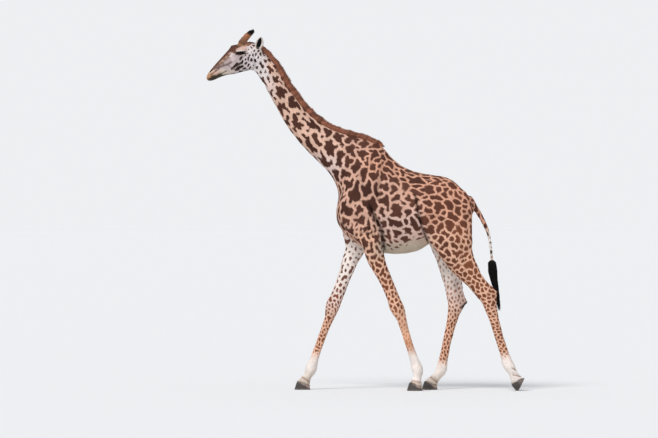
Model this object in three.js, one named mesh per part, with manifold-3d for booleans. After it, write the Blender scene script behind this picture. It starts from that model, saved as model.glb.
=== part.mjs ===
// A life-size Masai giraffe cow, caught in mid stride: a still model in named solids.
// Millimetres, +Z up. The animal walks towards -X, and its left side faces -Y.
// The frame's origin is the middle of the model's footprint, at floor level.
import * as THREE from "three";
import { mergeVertices } from "three/addons/utils/BufferGeometryUtils.js";
import Module from "manifold-3d";

const wasm = await Module();
wasm.setup();

// ---- Driving sizes ----
const GAP = 0.4; // clear space between neighbouring solids
const LEFT = -1;
const RIGHT = 1;
const CLEAR = 3000; // longer than any piece, for the boxes that cut
const HIDE = new THREE.MeshStandardMaterial({ color: 0xc08a63, roughness: 0.85, metalness: 0 });
const MANE_HAIR = new THREE.MeshStandardMaterial({ color: 0x7a4228, roughness: 0.9, metalness: 0 });
const BLACK_HAIR = new THREE.MeshStandardMaterial({ color: 0x17140f, roughness: 0.8, metalness: 0 });
const HOOF_HORN = new THREE.MeshStandardMaterial({ color: 0x3b3230, roughness: 0.6, metalness: 0 });
const WET_EYE = new THREE.MeshStandardMaterial({ color: 0x120c08, roughness: 0.1, metalness: 0 });

// ---- Solids from geometry ----

// A closed geometry as a solid, turned the right way out.
function solid(geometry) {
  const bare = (geometry.index ? geometry.toNonIndexed() : geometry.clone());
  for (const name of Object.keys(bare.attributes)) {
    if (name !== "position") bare.deleteAttribute(name);
  }
  const merged = mergeVertices(bare, 1e-3);
  const place = merged.attributes.position;
  const corner = merged.index.array;
  const a = new THREE.Vector3();
  const b = new THREE.Vector3();
  const c = new THREE.Vector3();
  const kept = [];
  let volume = 0;
  for (let i = 0; i < corner.length; i += 3) {
    const [p, q, r] = [corner[i], corner[i + 1], corner[i + 2]];
    if (p === q || q === r || r === p) continue;
    kept.push(p, q, r);
    volume += a.fromBufferAttribute(place, p)
      .dot(b.fromBufferAttribute(place, q).cross(c.fromBufferAttribute(place, r)));
  }
  if (volume < 0) kept.reverse();
  return new wasm.Manifold(new wasm.Mesh({
    numProp: 3,
    vertProperties: new Float32Array(place.array),
    triVerts: new Uint32Array(kept),
  }));
}

// A solid as a named mesh.
function named(name, shape, material) {
  const { vertProperties, triVerts } = shape.getMesh();
  const geometry = new THREE.BufferGeometry()
    .setAttribute("position", new THREE.BufferAttribute(vertProperties, 3))
    .setIndex(new THREE.BufferAttribute(triVerts, 1));
  geometry.computeVertexNormals();
  const mesh = new THREE.Mesh(geometry, material);
  mesh.name = name;
  return mesh;
}

const joined = (...shapes) => shapes.reduce((whole, shape) => whole.add(shape));
const vec = (x, y, z) => new THREE.Vector3(x, y, z);

// ---- Lofts ----

// A section reaches `front` and `rear` from its widest line at `middle`, and `side` to each side.
// frontRound and rearRound are 2 for a round end, less for a pointed one and more for a square one.
function onSection(section, angle, share) {
  const forward = Math.cos(angle);
  const across = Math.sin(angle);
  const end = forward >= 0 ? section.front : section.rear;
  const power = 2 / (forward >= 0 ? section.frontRound : section.rearRound);
  return section.middle.clone()
    .addScaledVector(end, share * Math.abs(forward) ** power)
    .addScaledVector(section.side, share * Math.sign(across) * Math.abs(across) ** power);
}

// A closed skin through the sections, first to last, with flat ends.
function loft(sections, sides) {
  const spans = sections.length - 1;
  const tube = new THREE.CylinderGeometry(1, 1, 1, sides, spans);
  const place = tube.attributes.position;
  for (let i = 0; i < place.count; i += 1) {
    const [x, y, z] = [place.getX(i), place.getY(i), place.getZ(i)];
    const section = sections[Math.round((0.5 - y) * spans)];
    const spot = onSection(section, Math.atan2(x, z), Math.hypot(x, z));
    place.setXYZ(i, spot.x, spot.y, spot.z);
  }
  return solid(tube);
}

// Rows of numbers, smoothed into `count` rows. The first number of a row says how far along it is.
function smoothed(rows, count) {
  const width = rows[0].length;
  const curve = new THREE.CubicInterpolant(rows.map((row) => row[0]), rows.flat(), width);
  const first = rows[0][0];
  const reach = rows.at(-1)[0] - first;
  return Array.from({ length: count }, (_, i) => [...curve.evaluate(first + (reach * i) / (count - 1))]);
}

// A section across the body from a top (or front) point to a bottom (or rear) point of its side outline.
function across(topX, topZ, endX, endZ, halfWidth, widest, topRound, endRound, y = 0, grow = 0) {
  const top = vec(topX, y, topZ);
  const end = vec(endX, y, endZ);
  const middle = end.clone().lerp(top, widest);
  const way = top.clone().sub(end).normalize();
  return {
    middle,
    front: top.sub(middle).addScaledVector(way, grow),
    rear: end.sub(middle).addScaledVector(way, -grow),
    side: vec(0, halfWidth + grow, 0),
    frontRound: topRound,
    rearRound: endRound,
  };
}

// ---- Neck and trunk ----
// From the nape to the buttocks: crest or back (x, z), throat or belly (x, z), half width,
// where the section is widest (0 at the belly), and how round it is above and below.
const TRUNK_ROWS = [
  [0, -1092, 3607, -1150, 3366, 60, 0.50, 1.8, 2.0],
  [1, -1000, 3516, -1102, 3291, 66, 0.48, 1.7, 2.0],
  [2, -905, 3396, -1046, 3170, 72, 0.46, 1.7, 2.0],
  [3, -820, 3240, -975, 3045, 77, 0.45, 1.7, 2.0],
  [4, -724, 3112, -900, 2903, 84, 0.44, 1.7, 2.0],
  [5, -618, 2976, -792, 2735, 94, 0.43, 1.65, 2.0],
  [6, -470, 2848, -657, 2571, 110, 0.42, 1.6, 2.0],
  [7, -339, 2775, -519, 2433, 132, 0.42, 1.55, 2.0],
  [8, -196, 2728, -398, 2317, 158, 0.42, 1.5, 2.0],
  [9, -42, 2690, -318, 2195, 186, 0.42, 1.45, 2.0],
  [10, 106, 2641, -281, 2067, 208, 0.42, 1.4, 2.0],
  [11, 201, 2597, -303, 1939, 222, 0.42, 1.4, 2.1],
  [12, 265, 2511, -313, 1824, 232, 0.42, 1.45, 2.1],
  [13, 336, 2440, -262, 1706, 240, 0.43, 1.5, 2.1],
  [14, 420, 2378, -150, 1590, 248, 0.44, 1.6, 2.0],
  [15, 519, 2334, 0, 1487, 258, 0.45, 1.7, 1.9],
  [16, 620, 2309, 190, 1450, 270, 0.45, 1.75, 2.1],
  [17, 722, 2292, 390, 1443, 278, 0.45, 1.8, 2.3],
  [18, 830, 2276, 560, 1474, 272, 0.46, 1.8, 2.3],
  [19, 925, 2245, 700, 1560, 246, 0.5, 1.8, 2.2],
  [20, 1000, 2173, 850, 1640, 222, 0.5, 1.8, 2.1],
  [21, 1070, 2100, 985, 1700, 190, 0.5, 1.8, 2.0],
  [22, 1122, 2032, 1085, 1760, 140, 0.5, 1.8, 2.0],
  [23, 1146, 1960, 1140, 1830, 70, 0.5, 2.0, 2.0],
];
const TRUNK_RINGS = 33;
const TRUNK_SIDES = 24;

function neckAndTrunk(grow = 0) {
  const rings = smoothed(TRUNK_ROWS, TRUNK_RINGS)
    .map(([, bx, bz, vx, vz, half, widest, top, end]) =>
      across(bx, bz, vx, vz, half, widest, top, end, 0, grow));
  rings.at(-1).middle.x += grow;
  return loft(rings, TRUNK_SIDES);
}

// ---- Mane ----
// An upright brush along the crest: how far along the rows of the trunk, its height and half width.
const MANE_ROWS = [
  [0.0, 34, 16],
  [0.5, 52, 24],
  [2.0, 56, 27],
  [5.0, 54, 27],
  [7.0, 48, 27],
  [9.0, 40, 26],
  [10.4, 38, 24],
  [11.0, 30, 14],
];
const MANE_ROOT = 34; // how deep its root lies in the crest
const MANE_RINGS = 27;
const MANE_SIDES = 6;

function mane(cutter) {
  const crest = new THREE.CubicInterpolant(
    TRUNK_ROWS.map((row) => row[0]), TRUNK_ROWS.flatMap((row) => row.slice(1, 5)), 4);
  const rings = smoothed(MANE_ROWS, MANE_RINGS).map(([at, height, half]) => {
    const [bx, bz, vx, vz] = crest.evaluate(at);
    const up = vec(bx - vx, 0, bz - vz).normalize();
    return {
      middle: vec(bx, 0, bz),
      front: up.clone().multiplyScalar(height),
      rear: up.clone().multiplyScalar(-MANE_ROOT),
      side: vec(0, half, 0),
      frontRound: 1.6,
      rearRound: 3,
    };
  });
  return loft(rings, MANE_SIDES).subtract(cutter);
}

// ---- Legs ----
// A leg hangs on its joints. Its girth is given along its bones: 0 at the elbow or stifle, 1 at the
// knee or hock, 2 at the fetlock, 3 at the coronet. Each row: place, reach to the front and to the
// rear of the bone's line, half width, and how round it is in front and behind.
const FORE_GIRTH = [
  [0.16, 140, 78, 76, 2, 1.9],
  [0.3, 128, 54, 70, 2, 1.9],
  [0.5, 98, 50, 60, 2, 2],
  [0.7, 84, 54, 53, 2, 2],
  [0.86, 84, 59, 56, 2.3, 2],
  [0.96, 94, 64, 63, 2.5, 2.1],
  [1.05, 82, 62, 62, 2.5, 2.1],
  [1.16, 55, 54, 46, 2.2, 2],
  [1.35, 50, 42, 38, 2, 2],
  [1.65, 48, 40, 38, 2, 2],
  [1.84, 50, 52, 44, 2, 2],
  [1.96, 64, 68, 57, 2, 2.1],
  [2.12, 56, 66, 56, 2, 2.1],
  [2.45, 44, 48, 48, 2, 2],
  [2.75, 60, 56, 54, 2, 2],
  [3.0, 76, 74, 63, 2, 2.2],
];
const HIND_GIRTH = [
  [0.34, 86, 270, 92, 1.9, 1.7],
  [0.5, 80, 192, 78, 1.9, 1.6],
  [0.7, 72, 136, 62, 1.9, 1.5],
  [0.84, 76, 122, 56, 2, 1.45],
  [0.93, 82, 124, 58, 2.2, 1.4],
  [1.0, 82, 128, 58, 2.2, 1.35],
  [1.05, 76, 104, 57, 2.2, 1.5],
  [1.15, 66, 74, 50, 2.1, 1.8],
  [1.32, 56, 54, 42, 2, 2],
  [1.6, 55, 40, 40, 2, 2],
  [1.84, 57, 44, 44, 2, 2],
  [1.98, 66, 60, 56, 2, 2.1],
  [2.12, 60, 62, 56, 2, 2.1],
  [2.45, 46, 50, 48, 2, 2],
  [2.75, 60, 56, 54, 2, 2],
  [3.0, 76, 74, 63, 2, 2.2],
];

// The shoulder and the thigh lie on the trunk. Each row: height, front x, rear x, y, half width,
// how much of the leg's swing it follows, and how round it is in front and behind.
const SHOULDER_ROWS = [
  [2500, 60, 160, 70, 30, 0, 2, 2],
  [2430, -10, 200, 105, 44, 0, 2, 2],
  [2300, -125, 205, 145, 58, 0, 2, 2],
  [2150, -220, 200, 170, 70, 0, 2, 2],
  [1980, -278, 180, 184, 76, 0, 2.2, 2],
  [1840, -296, 170, 188, 78, 0, 2.2, 2],
  [1720, -236, 190, 186, 80, 0.15, 2, 2],
  [1610, -130, 212, 178, 80, 0.55, 2, 2],
  [1520, -30, 226, 172, 78, 0.9, 2, 1.9],
];
const THIGH_ROWS = [
  [2215, 760, 930, 95, 45, 0, 2, 2],
  [2130, 660, 1060, 130, 66, 0, 2, 2],
  [2000, 595, 1130, 150, 82, 0, 2, 2],
  [1870, 580, 1152, 158, 90, 0, 2.1, 2],
  [1750, 610, 1150, 164, 92, 0.1, 2.1, 2],
  [1640, 655, 1150, 168, 92, 0.4, 2.1, 2],
  [1540, 690, 1156, 168, 92, 0.8, 2, 1.9],
];
const LEG_SIDES = 12;
const BEND = 0.14; // how far each side of a joint a leg takes to turn

// The four legs: joints as (x, y, z) from the elbow or stifle to the coronet. `swing` is how far the
// limb's top is carried from the rows above, and `tip` how far the hoof is rolled on to its toe.
const LEGS = {
  foreleg_left: {
    side: LEFT, rows: SHOULDER_ROWS, girth: FORE_GIRTH, swing: 0, tip: 0,
    joints: [[85, 170, 1569], [354, 150, 869], [556, 146, 212], [540, 150, 62]],
  },
  foreleg_right: {
    side: RIGHT, rows: SHOULDER_ROWS, girth: FORE_GIRTH, swing: -200, tip: 0,
    joints: [[-28, 170, 1590], [-336, 150, 872], [-580, 146, 212], [-650, 150, 66]],
  },
  hindleg_left: {
    side: LEFT, rows: THIGH_ROWS, girth: HIND_GIRTH, swing: 0, tip: 64,
    joints: [[763, 168, 1537], [1293, 140, 986], [1518, 146, 268], [1610, 150, 101]],
  },
  hindleg_right: {
    side: RIGHT, rows: THIGH_ROWS, girth: HIND_GIRTH, swing: -20, tip: 0,
    joints: [[784, 168, 1622], [966, 140, 922], [820, 146, 212], [705, 150, 66]],
  },
};
const CORONET_SLOPE = 24; // degrees, how much lower the coronet is at the heel than at the toe
const FLEXED_SLOPE = 36; // and on a foot that is rolled on to its toe
const toRadians = THREE.MathUtils.degToRad;

// The way down, square to the sole (share 0) or to the coronet (share 1), of a rolled hoof.
function downFrom(leg, share = 1) {
  const slope = leg.tip > 0 ? FLEXED_SLOPE : CORONET_SLOPE;
  const turn = toRadians(leg.tip - slope * share);
  return vec(Math.sin(turn), 0, -Math.cos(turn));
}

// Where a place along the bones is, and which way the limb runs there.
function alongBones(leg, at) {
  const joints = leg.joints.map(([x, y, z]) => vec(x, y * leg.side, z));
  const bones = joints.slice(1).map((joint, i) => joint.clone().sub(joints[i]).normalize());
  bones.push(downFrom(leg));
  const bone = Math.min(Math.floor(at), 2);
  const middle = joints[bone].clone().lerp(joints[bone + 1], at - bone);
  const joint = Math.round(at);
  const turned = THREE.MathUtils.smoothstep(at, joint - BEND, joint < 3 ? joint + BEND : 3);
  const way = bones[bone].clone();
  if (joint > 0) way.copy(bones[joint - 1]).lerp(bones[joint], turned).normalize();
  return { middle, way };
}

function limb(leg) {
  const top = leg.rows.map(([z, front, rear, y, half, follow, frontRound, rearRound]) =>
    across(front + leg.swing * follow, z, rear + leg.swing * follow, z, half, 0.5,
      frontRound, rearRound, y * leg.side));
  const sections = leg.girth.map(([at, front, rear, half, frontRound, rearRound]) => {
    const { middle, way } = alongBones(leg, at);
    const ahead = vec(way.z, 0, -way.x).normalize();
    return {
      middle,
      front: ahead.clone().multiplyScalar(front),
      rear: ahead.clone().multiplyScalar(-rear),
      side: vec(0, half, 0),
      frontRound,
      rearRound,
    };
  });
  return loft([...top, ...sections], LEG_SIDES);
}

// ---- Hooves ----
// Two toes, parted by a cleft. Each row of the hoof: depth below the coronet, toe, heel, half width.
const HOOF_ROWS = [
  [0, 78, 72, 64],
  [0.5, 92, 72, 70],
  [1, 106, 68, 72],
];
const HOOF_DEEP = 74; // from the coronet's middle down to the sole
const FLEXED_DEEP = 54; // and on a foot that is rolled on to its toe
const CLEFT = 7;
const TOE_ROOM = 300; // wider than a toe
const HOOF_SIDES = 18;

function hoof(leg) {
  const deep = leg.tip > 0 ? FLEXED_DEEP : HOOF_DEEP;
  const middle = vec(leg.joints[3][0], leg.joints[3][1] * leg.side, leg.joints[3][2]);
  const sections = HOOF_ROWS.map(([share, toe, heel, half]) => {
    const down = downFrom(leg, 1 - share);
    const ahead = vec(down.z, 0, -down.x).normalize();
    return {
      middle: middle.clone().addScaledVector(down, GAP).addScaledVector(downFrom(leg, 0), deep * share),
      front: ahead.clone().multiplyScalar(toe),
      rear: ahead.clone().multiplyScalar(-heel),
      side: vec(0, half, 0),
      frontRound: 2,
      rearRound: 2.6,
    };
  });
  return loft(sections, HOOF_SIDES);
}

// The hoof cut level at the floor, as its inner and outer toe.
function toes(leg) {
  const floor = new THREE.BoxGeometry(2 * CLEAR, CLEAR, TOE_ROOM).translate(0, 0, -TOE_ROOM / 2);
  const whole = hoof(leg).subtract(solid(floor));
  const half = (out) => {
    const y = leg.side * (leg.joints[3][1] + out * (TOE_ROOM + CLEFT) / 2);
    return whole.intersect(solid(new THREE.BoxGeometry(2 * CLEAR, TOE_ROOM, CLEAR).translate(0, y, 0)));
  };
  return { inner: half(-1), outer: half(1) };
}

// ---- Head ----
// From the nose to the nape: crown (x, z), jaw (x, z), half width, widest place, roundness.
const HEAD_ROWS = [
  [0, -1684, 3318, -1681, 3296, 18, 0.5, 2, 2],
  [0.35, -1676, 3342, -1672, 3283, 34, 0.46, 2.2, 2.2],
  [1, -1658, 3372, -1648, 3280, 46, 0.44, 2.2, 2.2],
  [2, -1622, 3422, -1601, 3289, 50, 0.42, 2.2, 2.2],
  [3, -1574, 3480, -1537, 3317, 46, 0.45, 2.2, 2.1],
  [4, -1516, 3544, -1463, 3340, 49, 0.52, 2.2, 2.0],
  [5, -1465, 3596, -1389, 3352, 62, 0.6, 2.2, 1.9],
  [6, -1424, 3644, -1314, 3366, 84, 0.64, 2.3, 1.8],
  [7, -1368, 3670, -1251, 3384, 98, 0.64, 2.4, 1.8],
  [8, -1297, 3686, -1214, 3392, 96, 0.62, 2.3, 1.8],
  [9, -1222, 3700, -1182, 3384, 84, 0.6, 2.2, 1.9],
  [10, -1150, 3682, -1150, 3360, 72, 0.56, 2.1, 2.0],
  [11, -1090, 3638, -1113, 3300, 64, 0.52, 2.0, 2.0],
];
const HEAD_RINGS = 22;
const HEAD_SIDES = 16;
const BOSS = { at: vec(-1390, 0, 3632), size: vec(46, 44, 36) }; // the lump in the middle of the brow
const BROW = { at: vec(-1320, 60, 3592), size: vec(84, 45, 42), slope: -10 };
const JAW = { at: vec(-1228, 50, 3452), size: vec(84, 28, 60), slope: -10 };
const EYE = { at: vec(-1322, 82, 3572), radius: 27, sides: 12, rings: 8 };

function skull(grow = 0) {
  const rings = smoothed(HEAD_ROWS, HEAD_RINGS).map(([, ...row]) => across(...row, 0, grow));
  return loft(rings, HEAD_SIDES);
}

// A round swelling: an egg of the given half sizes, turned in the side view.
function swelling({ at, size, slope = 0 }, side = 1, around = 8, up = 6) {
  const egg = new THREE.SphereGeometry(1, around, up);
  egg.scale(size.x, size.y, size.z);
  egg.rotateY(toRadians(slope));
  egg.translate(at.x, at.y * side, at.z);
  return solid(egg);
}

// ---- Horns (ossicones) and ears ----
const ROD_SIDES = 10;
const ROD_ROOM = 200; // wider than a horn or an ear
const HORN_ROWS = [ // share of the way up, radius
  [0, 30],
  [0.26, 44],
  [0.48, 38],
  [0.7, 33],
  [0.9, 29],
  [0.98, 20],
  [1, 7],
];
const HORN_BOW = 15; // how far it curves forwards between its ends
const HORN_FOOT = vec(-1337, 40, 3619);
const HORN_TIP = vec(-1194, 60, 3811);
const HORN_CUT = 0.48; // share of its length that stays on the head as its stump
const EAR_FOOT = vec(-1142, 60, 3606);
const EAR_TIP = vec(-1098, 150, 3742);
const EAR_ROWS = [ // share of the length, half width, thickness outwards from the middle line
  [0, 20, 20],
  [0.2, 36, 25],
  [0.45, 44, 25],
  [0.7, 38, 19],
  [0.88, 23, 12],
  [1, 5, 4],
];
const EAR_WALL = 7;
const EAR_FLAT = 0.55; // how much flatter its inner face is than its back
const EAR_SOLID = 0.2; // share of its length below the hollow
const EAR_CUT = 0.12; // share of its length that stays on the head as its stump
const EAR_OPENS = vec(-0.35, 0.75, -0.55); // the way that the ear's hollow faces

function rod(foot, tip, rows, sides, sectionAt) {
  const sections = rows.map((row) => ({
    middle: foot.clone().lerp(tip, row[0]),
    frontRound: 2,
    rearRound: 2,
    ...sectionAt(row),
  }));
  return loft(sections, sides);
}

// How far a place on the horn lies in front of the straight line between its ends.
const bowed = (share) => HORN_BOW * Math.sin(Math.PI * share);

function horn(side) {
  const foot = vec(HORN_FOOT.x, HORN_FOOT.y * side, HORN_FOOT.z);
  const tip = vec(HORN_TIP.x, HORN_TIP.y * side, HORN_TIP.z);
  const up = tip.clone().sub(foot).normalize();
  const out = vec(0, 1, 0).addScaledVector(up, -up.y).normalize();
  const ahead = up.clone().cross(out);
  return rod(foot, tip, HORN_ROWS, ROD_SIDES, ([share, radius]) => ({
    middle: foot.clone().lerp(tip, share).addScaledVector(ahead, bowed(share)),
    front: ahead.clone().multiplyScalar(radius),
    rear: ahead.clone().multiplyScalar(-radius),
    side: out.clone().multiplyScalar(radius),
  }));
}

function ear(side) {
  const foot = vec(EAR_FOOT.x, EAR_FOOT.y * side, EAR_FOOT.z);
  const tip = vec(EAR_TIP.x, EAR_TIP.y * side, EAR_TIP.z);
  const up = tip.clone().sub(foot).normalize();
  const opens = vec(EAR_OPENS.x, EAR_OPENS.y * side, EAR_OPENS.z);
  opens.addScaledVector(up, -opens.dot(up)).normalize();
  const broad = opens.clone().cross(up);
  const leaf = (lift, thinner, start) => rod(foot.clone().lerp(tip, start).addScaledVector(opens, lift),
    tip.clone().addScaledVector(opens, lift), EAR_ROWS, ROD_SIDES, ([, half, thick]) => ({
      front: opens.clone().multiplyScalar(thick * EAR_FLAT),
      rear: opens.clone().multiplyScalar(-thick),
      side: broad.clone().multiplyScalar(Math.max(half - thinner, 1)),
    }));
  return leaf(0, 0, 0).subtract(leaf(EAR_WALL * 1.6, EAR_WALL * 0.7, EAR_SOLID));
}

// ---- Tail ----
const TAIL_RINGS = 13;
const TAIL_SIDES = 8;
const SWITCH_RINGS = 12;
const SWITCH_SIDES = 9;
const THINNEST = 2; // the switch's tip
const TAIL_ROWS = [ // share, x, z, radius
  [0, 1085, 2034, 50],
  [1, 1128, 1994, 42],
  [2, 1166, 1938, 33],
  [3, 1218, 1862, 28],
  [4, 1268, 1768, 23],
  [5, 1306, 1672, 18],
  [6, 1328, 1572, 14],
  [7, 1340, 1470, 13],
  [8, 1348, 1366, 14],
];
const SWITCH_ROWS = [ // the black brush at the tail's end: share, x, z, radius
  [0, 1348, 1372, 26],
  [0.4, 1350, 1345, 42],
  [1.4, 1354, 1260, 48],
  [2.4, 1366, 1180, 42],
  [3.4, 1386, 1090, 32],
  [4.4, 1402, 1000, 24],
  [5.4, 1416, 905, 14],
  [6.2, 1424, 835, 3],
];

function hanging(rows, rings, sides, grow = 0) {
  const made = smoothed(rows, rings);
  const sections = made.map(([, x, z, radius], i) => {
    const [, ax, az] = made[Math.max(i - 1, 0)];
    const [, bx, bz] = made[Math.min(i + 1, made.length - 1)];
    const way = vec(bx - ax, 0, bz - az).normalize();
    const ahead = vec(way.z, 0, -way.x);
    const reach = Math.max(radius, THINNEST) + grow;
    return {
      middle: vec(x, 0, z),
      front: ahead.clone().multiplyScalar(reach),
      rear: ahead.clone().multiplyScalar(-reach),
      side: vec(0, reach, 0),
      frontRound: 2,
      rearRound: 2,
    };
  });
  return loft(sections, sides);
}

const dock = (grow) => hanging(TAIL_ROWS, TAIL_RINGS, TAIL_SIDES, grow);

// ---- Parting the whole ----

// A box that starts `lift` above a plane and holds all that lies beyond it.
function beyond(point, normal, lift) {
  const box = new THREE.BoxGeometry(2 * CLEAR, CLEAR, CLEAR).translate(0, 0, CLEAR / 2 + lift);
  const way = vec(normal.x, 0, normal.z).normalize();
  const turn = new THREE.Matrix4().makeBasis(vec(way.z, 0, -way.x), vec(0, 1, 0), way);
  box.applyMatrix4(turn.setPosition(point.x, 0, point.z));
  return solid(box);
}

// [what lies beyond the plane, what is left], with a gap between them.
function parted(shape, point, normal) {
  return [
    shape.intersect(beyond(point, normal, GAP / 2)),
    shape.subtract(beyond(point, normal, -GAP / 2)),
  ];
}

// Cuts across a slanting rod that need not lie in the side view's plane.
function partedRod(shape, foot, tip, share) {
  const way = tip.clone().sub(foot).normalize();
  const turn = new THREE.Quaternion().setFromUnitVectors(vec(0, 0, 1), way);
  const at = foot.clone().lerp(tip, share);
  const box = (lift) => {
    const made = new THREE.BoxGeometry(2 * ROD_ROOM, 2 * ROD_ROOM, 3 * ROD_ROOM);
    made.translate(0, 0, 1.5 * ROD_ROOM + lift);
    made.applyQuaternion(turn);
    made.translate(at.x, at.y, at.z);
    return solid(made);
  };
  return [shape.intersect(box(GAP / 2)), shape.subtract(box(-GAP / 2))];
}

const giraffe = new THREE.Group();
const bothSides = { left: LEFT, right: RIGHT };
const NAPE = { at: vec(-1128, 0, 3500), way: vec(-0.84, 0, 0.54) };
const NECK_FOOT = { at: vec(-130, 0, 2460), way: vec(-0.74, 0, 0.67) };
const TAIL_ROOT = { at: vec(1150, 0, 1975), way: vec(0.72, 0, -0.69) };
const LEG_TOP = { foreleg: 0.2, hindleg: 0.36 };

// The head, the neck and the trunk, parted where their names change.
const brows = [BROW, JAW].flatMap((lump) => [swelling(lump, LEFT), swelling(lump, RIGHT)]);
let [head, body] = parted(
  joined(skull(), swelling(BOSS), ...brows, neckAndTrunk()), NAPE.at, NAPE.way);
let neck;
[neck, body] = parted(body, NECK_FOOT.at, NECK_FOOT.way);

// The legs: each upper arm or thigh belongs to the trunk.
const belly = neckAndTrunk(2 * GAP);
for (const [name, leg] of Object.entries(LEGS)) {
  const { middle, way } = alongBones(leg, LEG_TOP[name.split("_")[0]]);
  const [lower, upper] = parted(limb(leg), middle, way);
  body = body.add(upper);
  giraffe.add(named(name, lower.subtract(belly), HIDE));
  for (const [toe, shape] of Object.entries(toes(leg))) {
    giraffe.add(named(`hoof_${name}_${toe}`, shape, HOOF_HORN));
  }
}

const [tail, tailStump] = parted(dock(0), TAIL_ROOT.at, TAIL_ROOT.way);
body = body.add(tailStump);

for (const [word, side] of Object.entries(bothSides)) {
  const at = (spot) => vec(spot.x, spot.y * side, spot.z);
  let [piece, stump] = partedRod(horn(side), at(HORN_FOOT), at(HORN_TIP), HORN_CUT);
  giraffe.add(named(`horn_${word}`, piece, HIDE));
  head = head.add(stump);
  [piece, stump] = partedRod(ear(side), at(EAR_FOOT), at(EAR_TIP), EAR_CUT);
  giraffe.add(named(`ear_${word}`, piece, HIDE));
  head = head.add(stump);
  const ball = (grow) => {
    const size = vec(1, 1, 1).multiplyScalar(EYE.radius + grow);
    return swelling({ at: EYE.at, size }, side, EYE.sides, EYE.rings);
  };
  head = head.subtract(ball(GAP));
  giraffe.add(named(`eye_${word}`, ball(0), WET_EYE));
}

giraffe.add(
  named("head", head, HIDE),
  named("neck", neck, HIDE),
  named("trunk", body, HIDE),
  named("tail", tail.subtract(belly), HIDE),
  named("mane", mane(joined(belly, skull(GAP))), MANE_HAIR),
  named("tail_switch", hanging(SWITCH_ROWS, SWITCH_RINGS, SWITCH_SIDES).subtract(dock(GAP)), BLACK_HAIR),
);

// The origin goes to the middle of the footprint.
const bounds = new THREE.Box3().setFromObject(giraffe);
const middle = bounds.getCenter(new THREE.Vector3());
giraffe.position.set(-middle.x, -middle.y, -bounds.min.z);

export default giraffe;
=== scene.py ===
"""A walking Masai giraffe cow, life size: skin, markings, coat, mane, tail brush, eyes, horns and hooves.

Metres, +Z up, apart from the tables that say millimetres. The animal walks towards -X, and its left
side faces -Y. A side of -1 is its left, and 1 its right.
"""
import math

import bmesh
import bpy
import numpy as np
from mathutils import Matrix, Vector
from mathutils.bvhtree import BVHTree
from mathutils.kdtree import KDTree


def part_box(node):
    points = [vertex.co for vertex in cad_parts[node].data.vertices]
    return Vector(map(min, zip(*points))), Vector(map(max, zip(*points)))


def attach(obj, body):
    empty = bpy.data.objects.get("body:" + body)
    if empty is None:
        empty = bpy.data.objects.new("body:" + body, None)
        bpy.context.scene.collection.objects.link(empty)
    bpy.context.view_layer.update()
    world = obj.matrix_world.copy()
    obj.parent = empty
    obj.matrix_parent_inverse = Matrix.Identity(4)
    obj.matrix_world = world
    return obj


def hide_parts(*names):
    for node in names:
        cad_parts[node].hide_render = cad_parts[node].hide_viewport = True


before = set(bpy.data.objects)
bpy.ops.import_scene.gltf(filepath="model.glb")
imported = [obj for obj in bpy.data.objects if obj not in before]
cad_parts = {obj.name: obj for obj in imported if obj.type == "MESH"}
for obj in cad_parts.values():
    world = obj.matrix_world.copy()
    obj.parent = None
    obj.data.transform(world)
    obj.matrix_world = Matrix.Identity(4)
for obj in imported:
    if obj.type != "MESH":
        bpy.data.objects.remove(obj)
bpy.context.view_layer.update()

# ---- Places and sizes ----
MM = 1000
SIDES = {"left": -1.0, "right": 1.0}
LEGS = ["foreleg_left", "foreleg_right", "hindleg_left", "hindleg_right"]
EARS = ["ear_left", "ear_right"]
FLESH = ["head", "neck", "trunk", "tail", *LEGS, *EARS]
BODY_CELL, FACE_CELL, HORN_CELL, HOOF_CELL = 0.0095, 0.0054, 0.0042, 0.0036  # of the remeshed shapes
BODY_SHARE = 0.47  # of the body's triangles that are kept; the rest come off the trunk and neck
LEG_TO_TRUNK = (1.25, 1.75)  # heights between which the lean leg turns into shoulder or thigh
LEAN_SHARE = 0.12  # how much of the trunk's evening out the legs and the tail get
OVERLAP = 0.0005  # how much the solids of the flesh swell, so that neighbours overlap
COAT_DEPTH = 0.002  # how far the skin lies inside the solids
NECK_JOIN = Vector((-1.03, 0.0, 3.33))  # where the fine skin of the head meets the body's
NECK_WAY = Vector((-0.74, 0.0, 0.67)).normalized()
EAR_FOOT, EAR_TIP = Vector((-1.142, 0.060, 3.606)), Vector((-1.098, 0.150, 3.742))  # of the right ear
EAR_OPENS = Vector((-0.35, 0.75, -0.55)).normalized()  # the way that the right ear's hollow faces
HORN_FOOT, HORN_TIP = Vector((-1.337, 0.040, 3.619)), Vector((-1.194, 0.060, 3.811))  # of the right horn
HORN_CUT = 0.48  # share of its length that belongs to the head
HORN_REACH = 0.06  # how far from its axis the horn's skin can lie
HORN_BASE_DEPTH = 0.003  # how far the head's skin lies inside the horn above the cut


def middle_of(node):
    low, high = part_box(node)
    return (low + high) / 2


EYE = {word: middle_of(f"eye_{word}") for word in SIDES}
EYE_RADIUS = (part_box("eye_left")[1].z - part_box("eye_left")[0].z) / 2


# ---- Meshes ----
def add_object(name, thing):
    made = bpy.data.objects.new(name, thing)
    bpy.context.scene.collection.objects.link(made)
    return made


def piece_of(name, mesh, material, slot, *replaced):
    """A piece of the visual model, in place of CAD nodes where some are named."""
    mesh.polygons.foreach_set("use_smooth", np.ones(len(mesh.polygons), bool))
    mesh.materials.clear()
    mesh.materials.append(material)
    piece = add_object(name, mesh)
    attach(piece, "root")
    if replaced:
        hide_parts(*replaced)
    return piece


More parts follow.
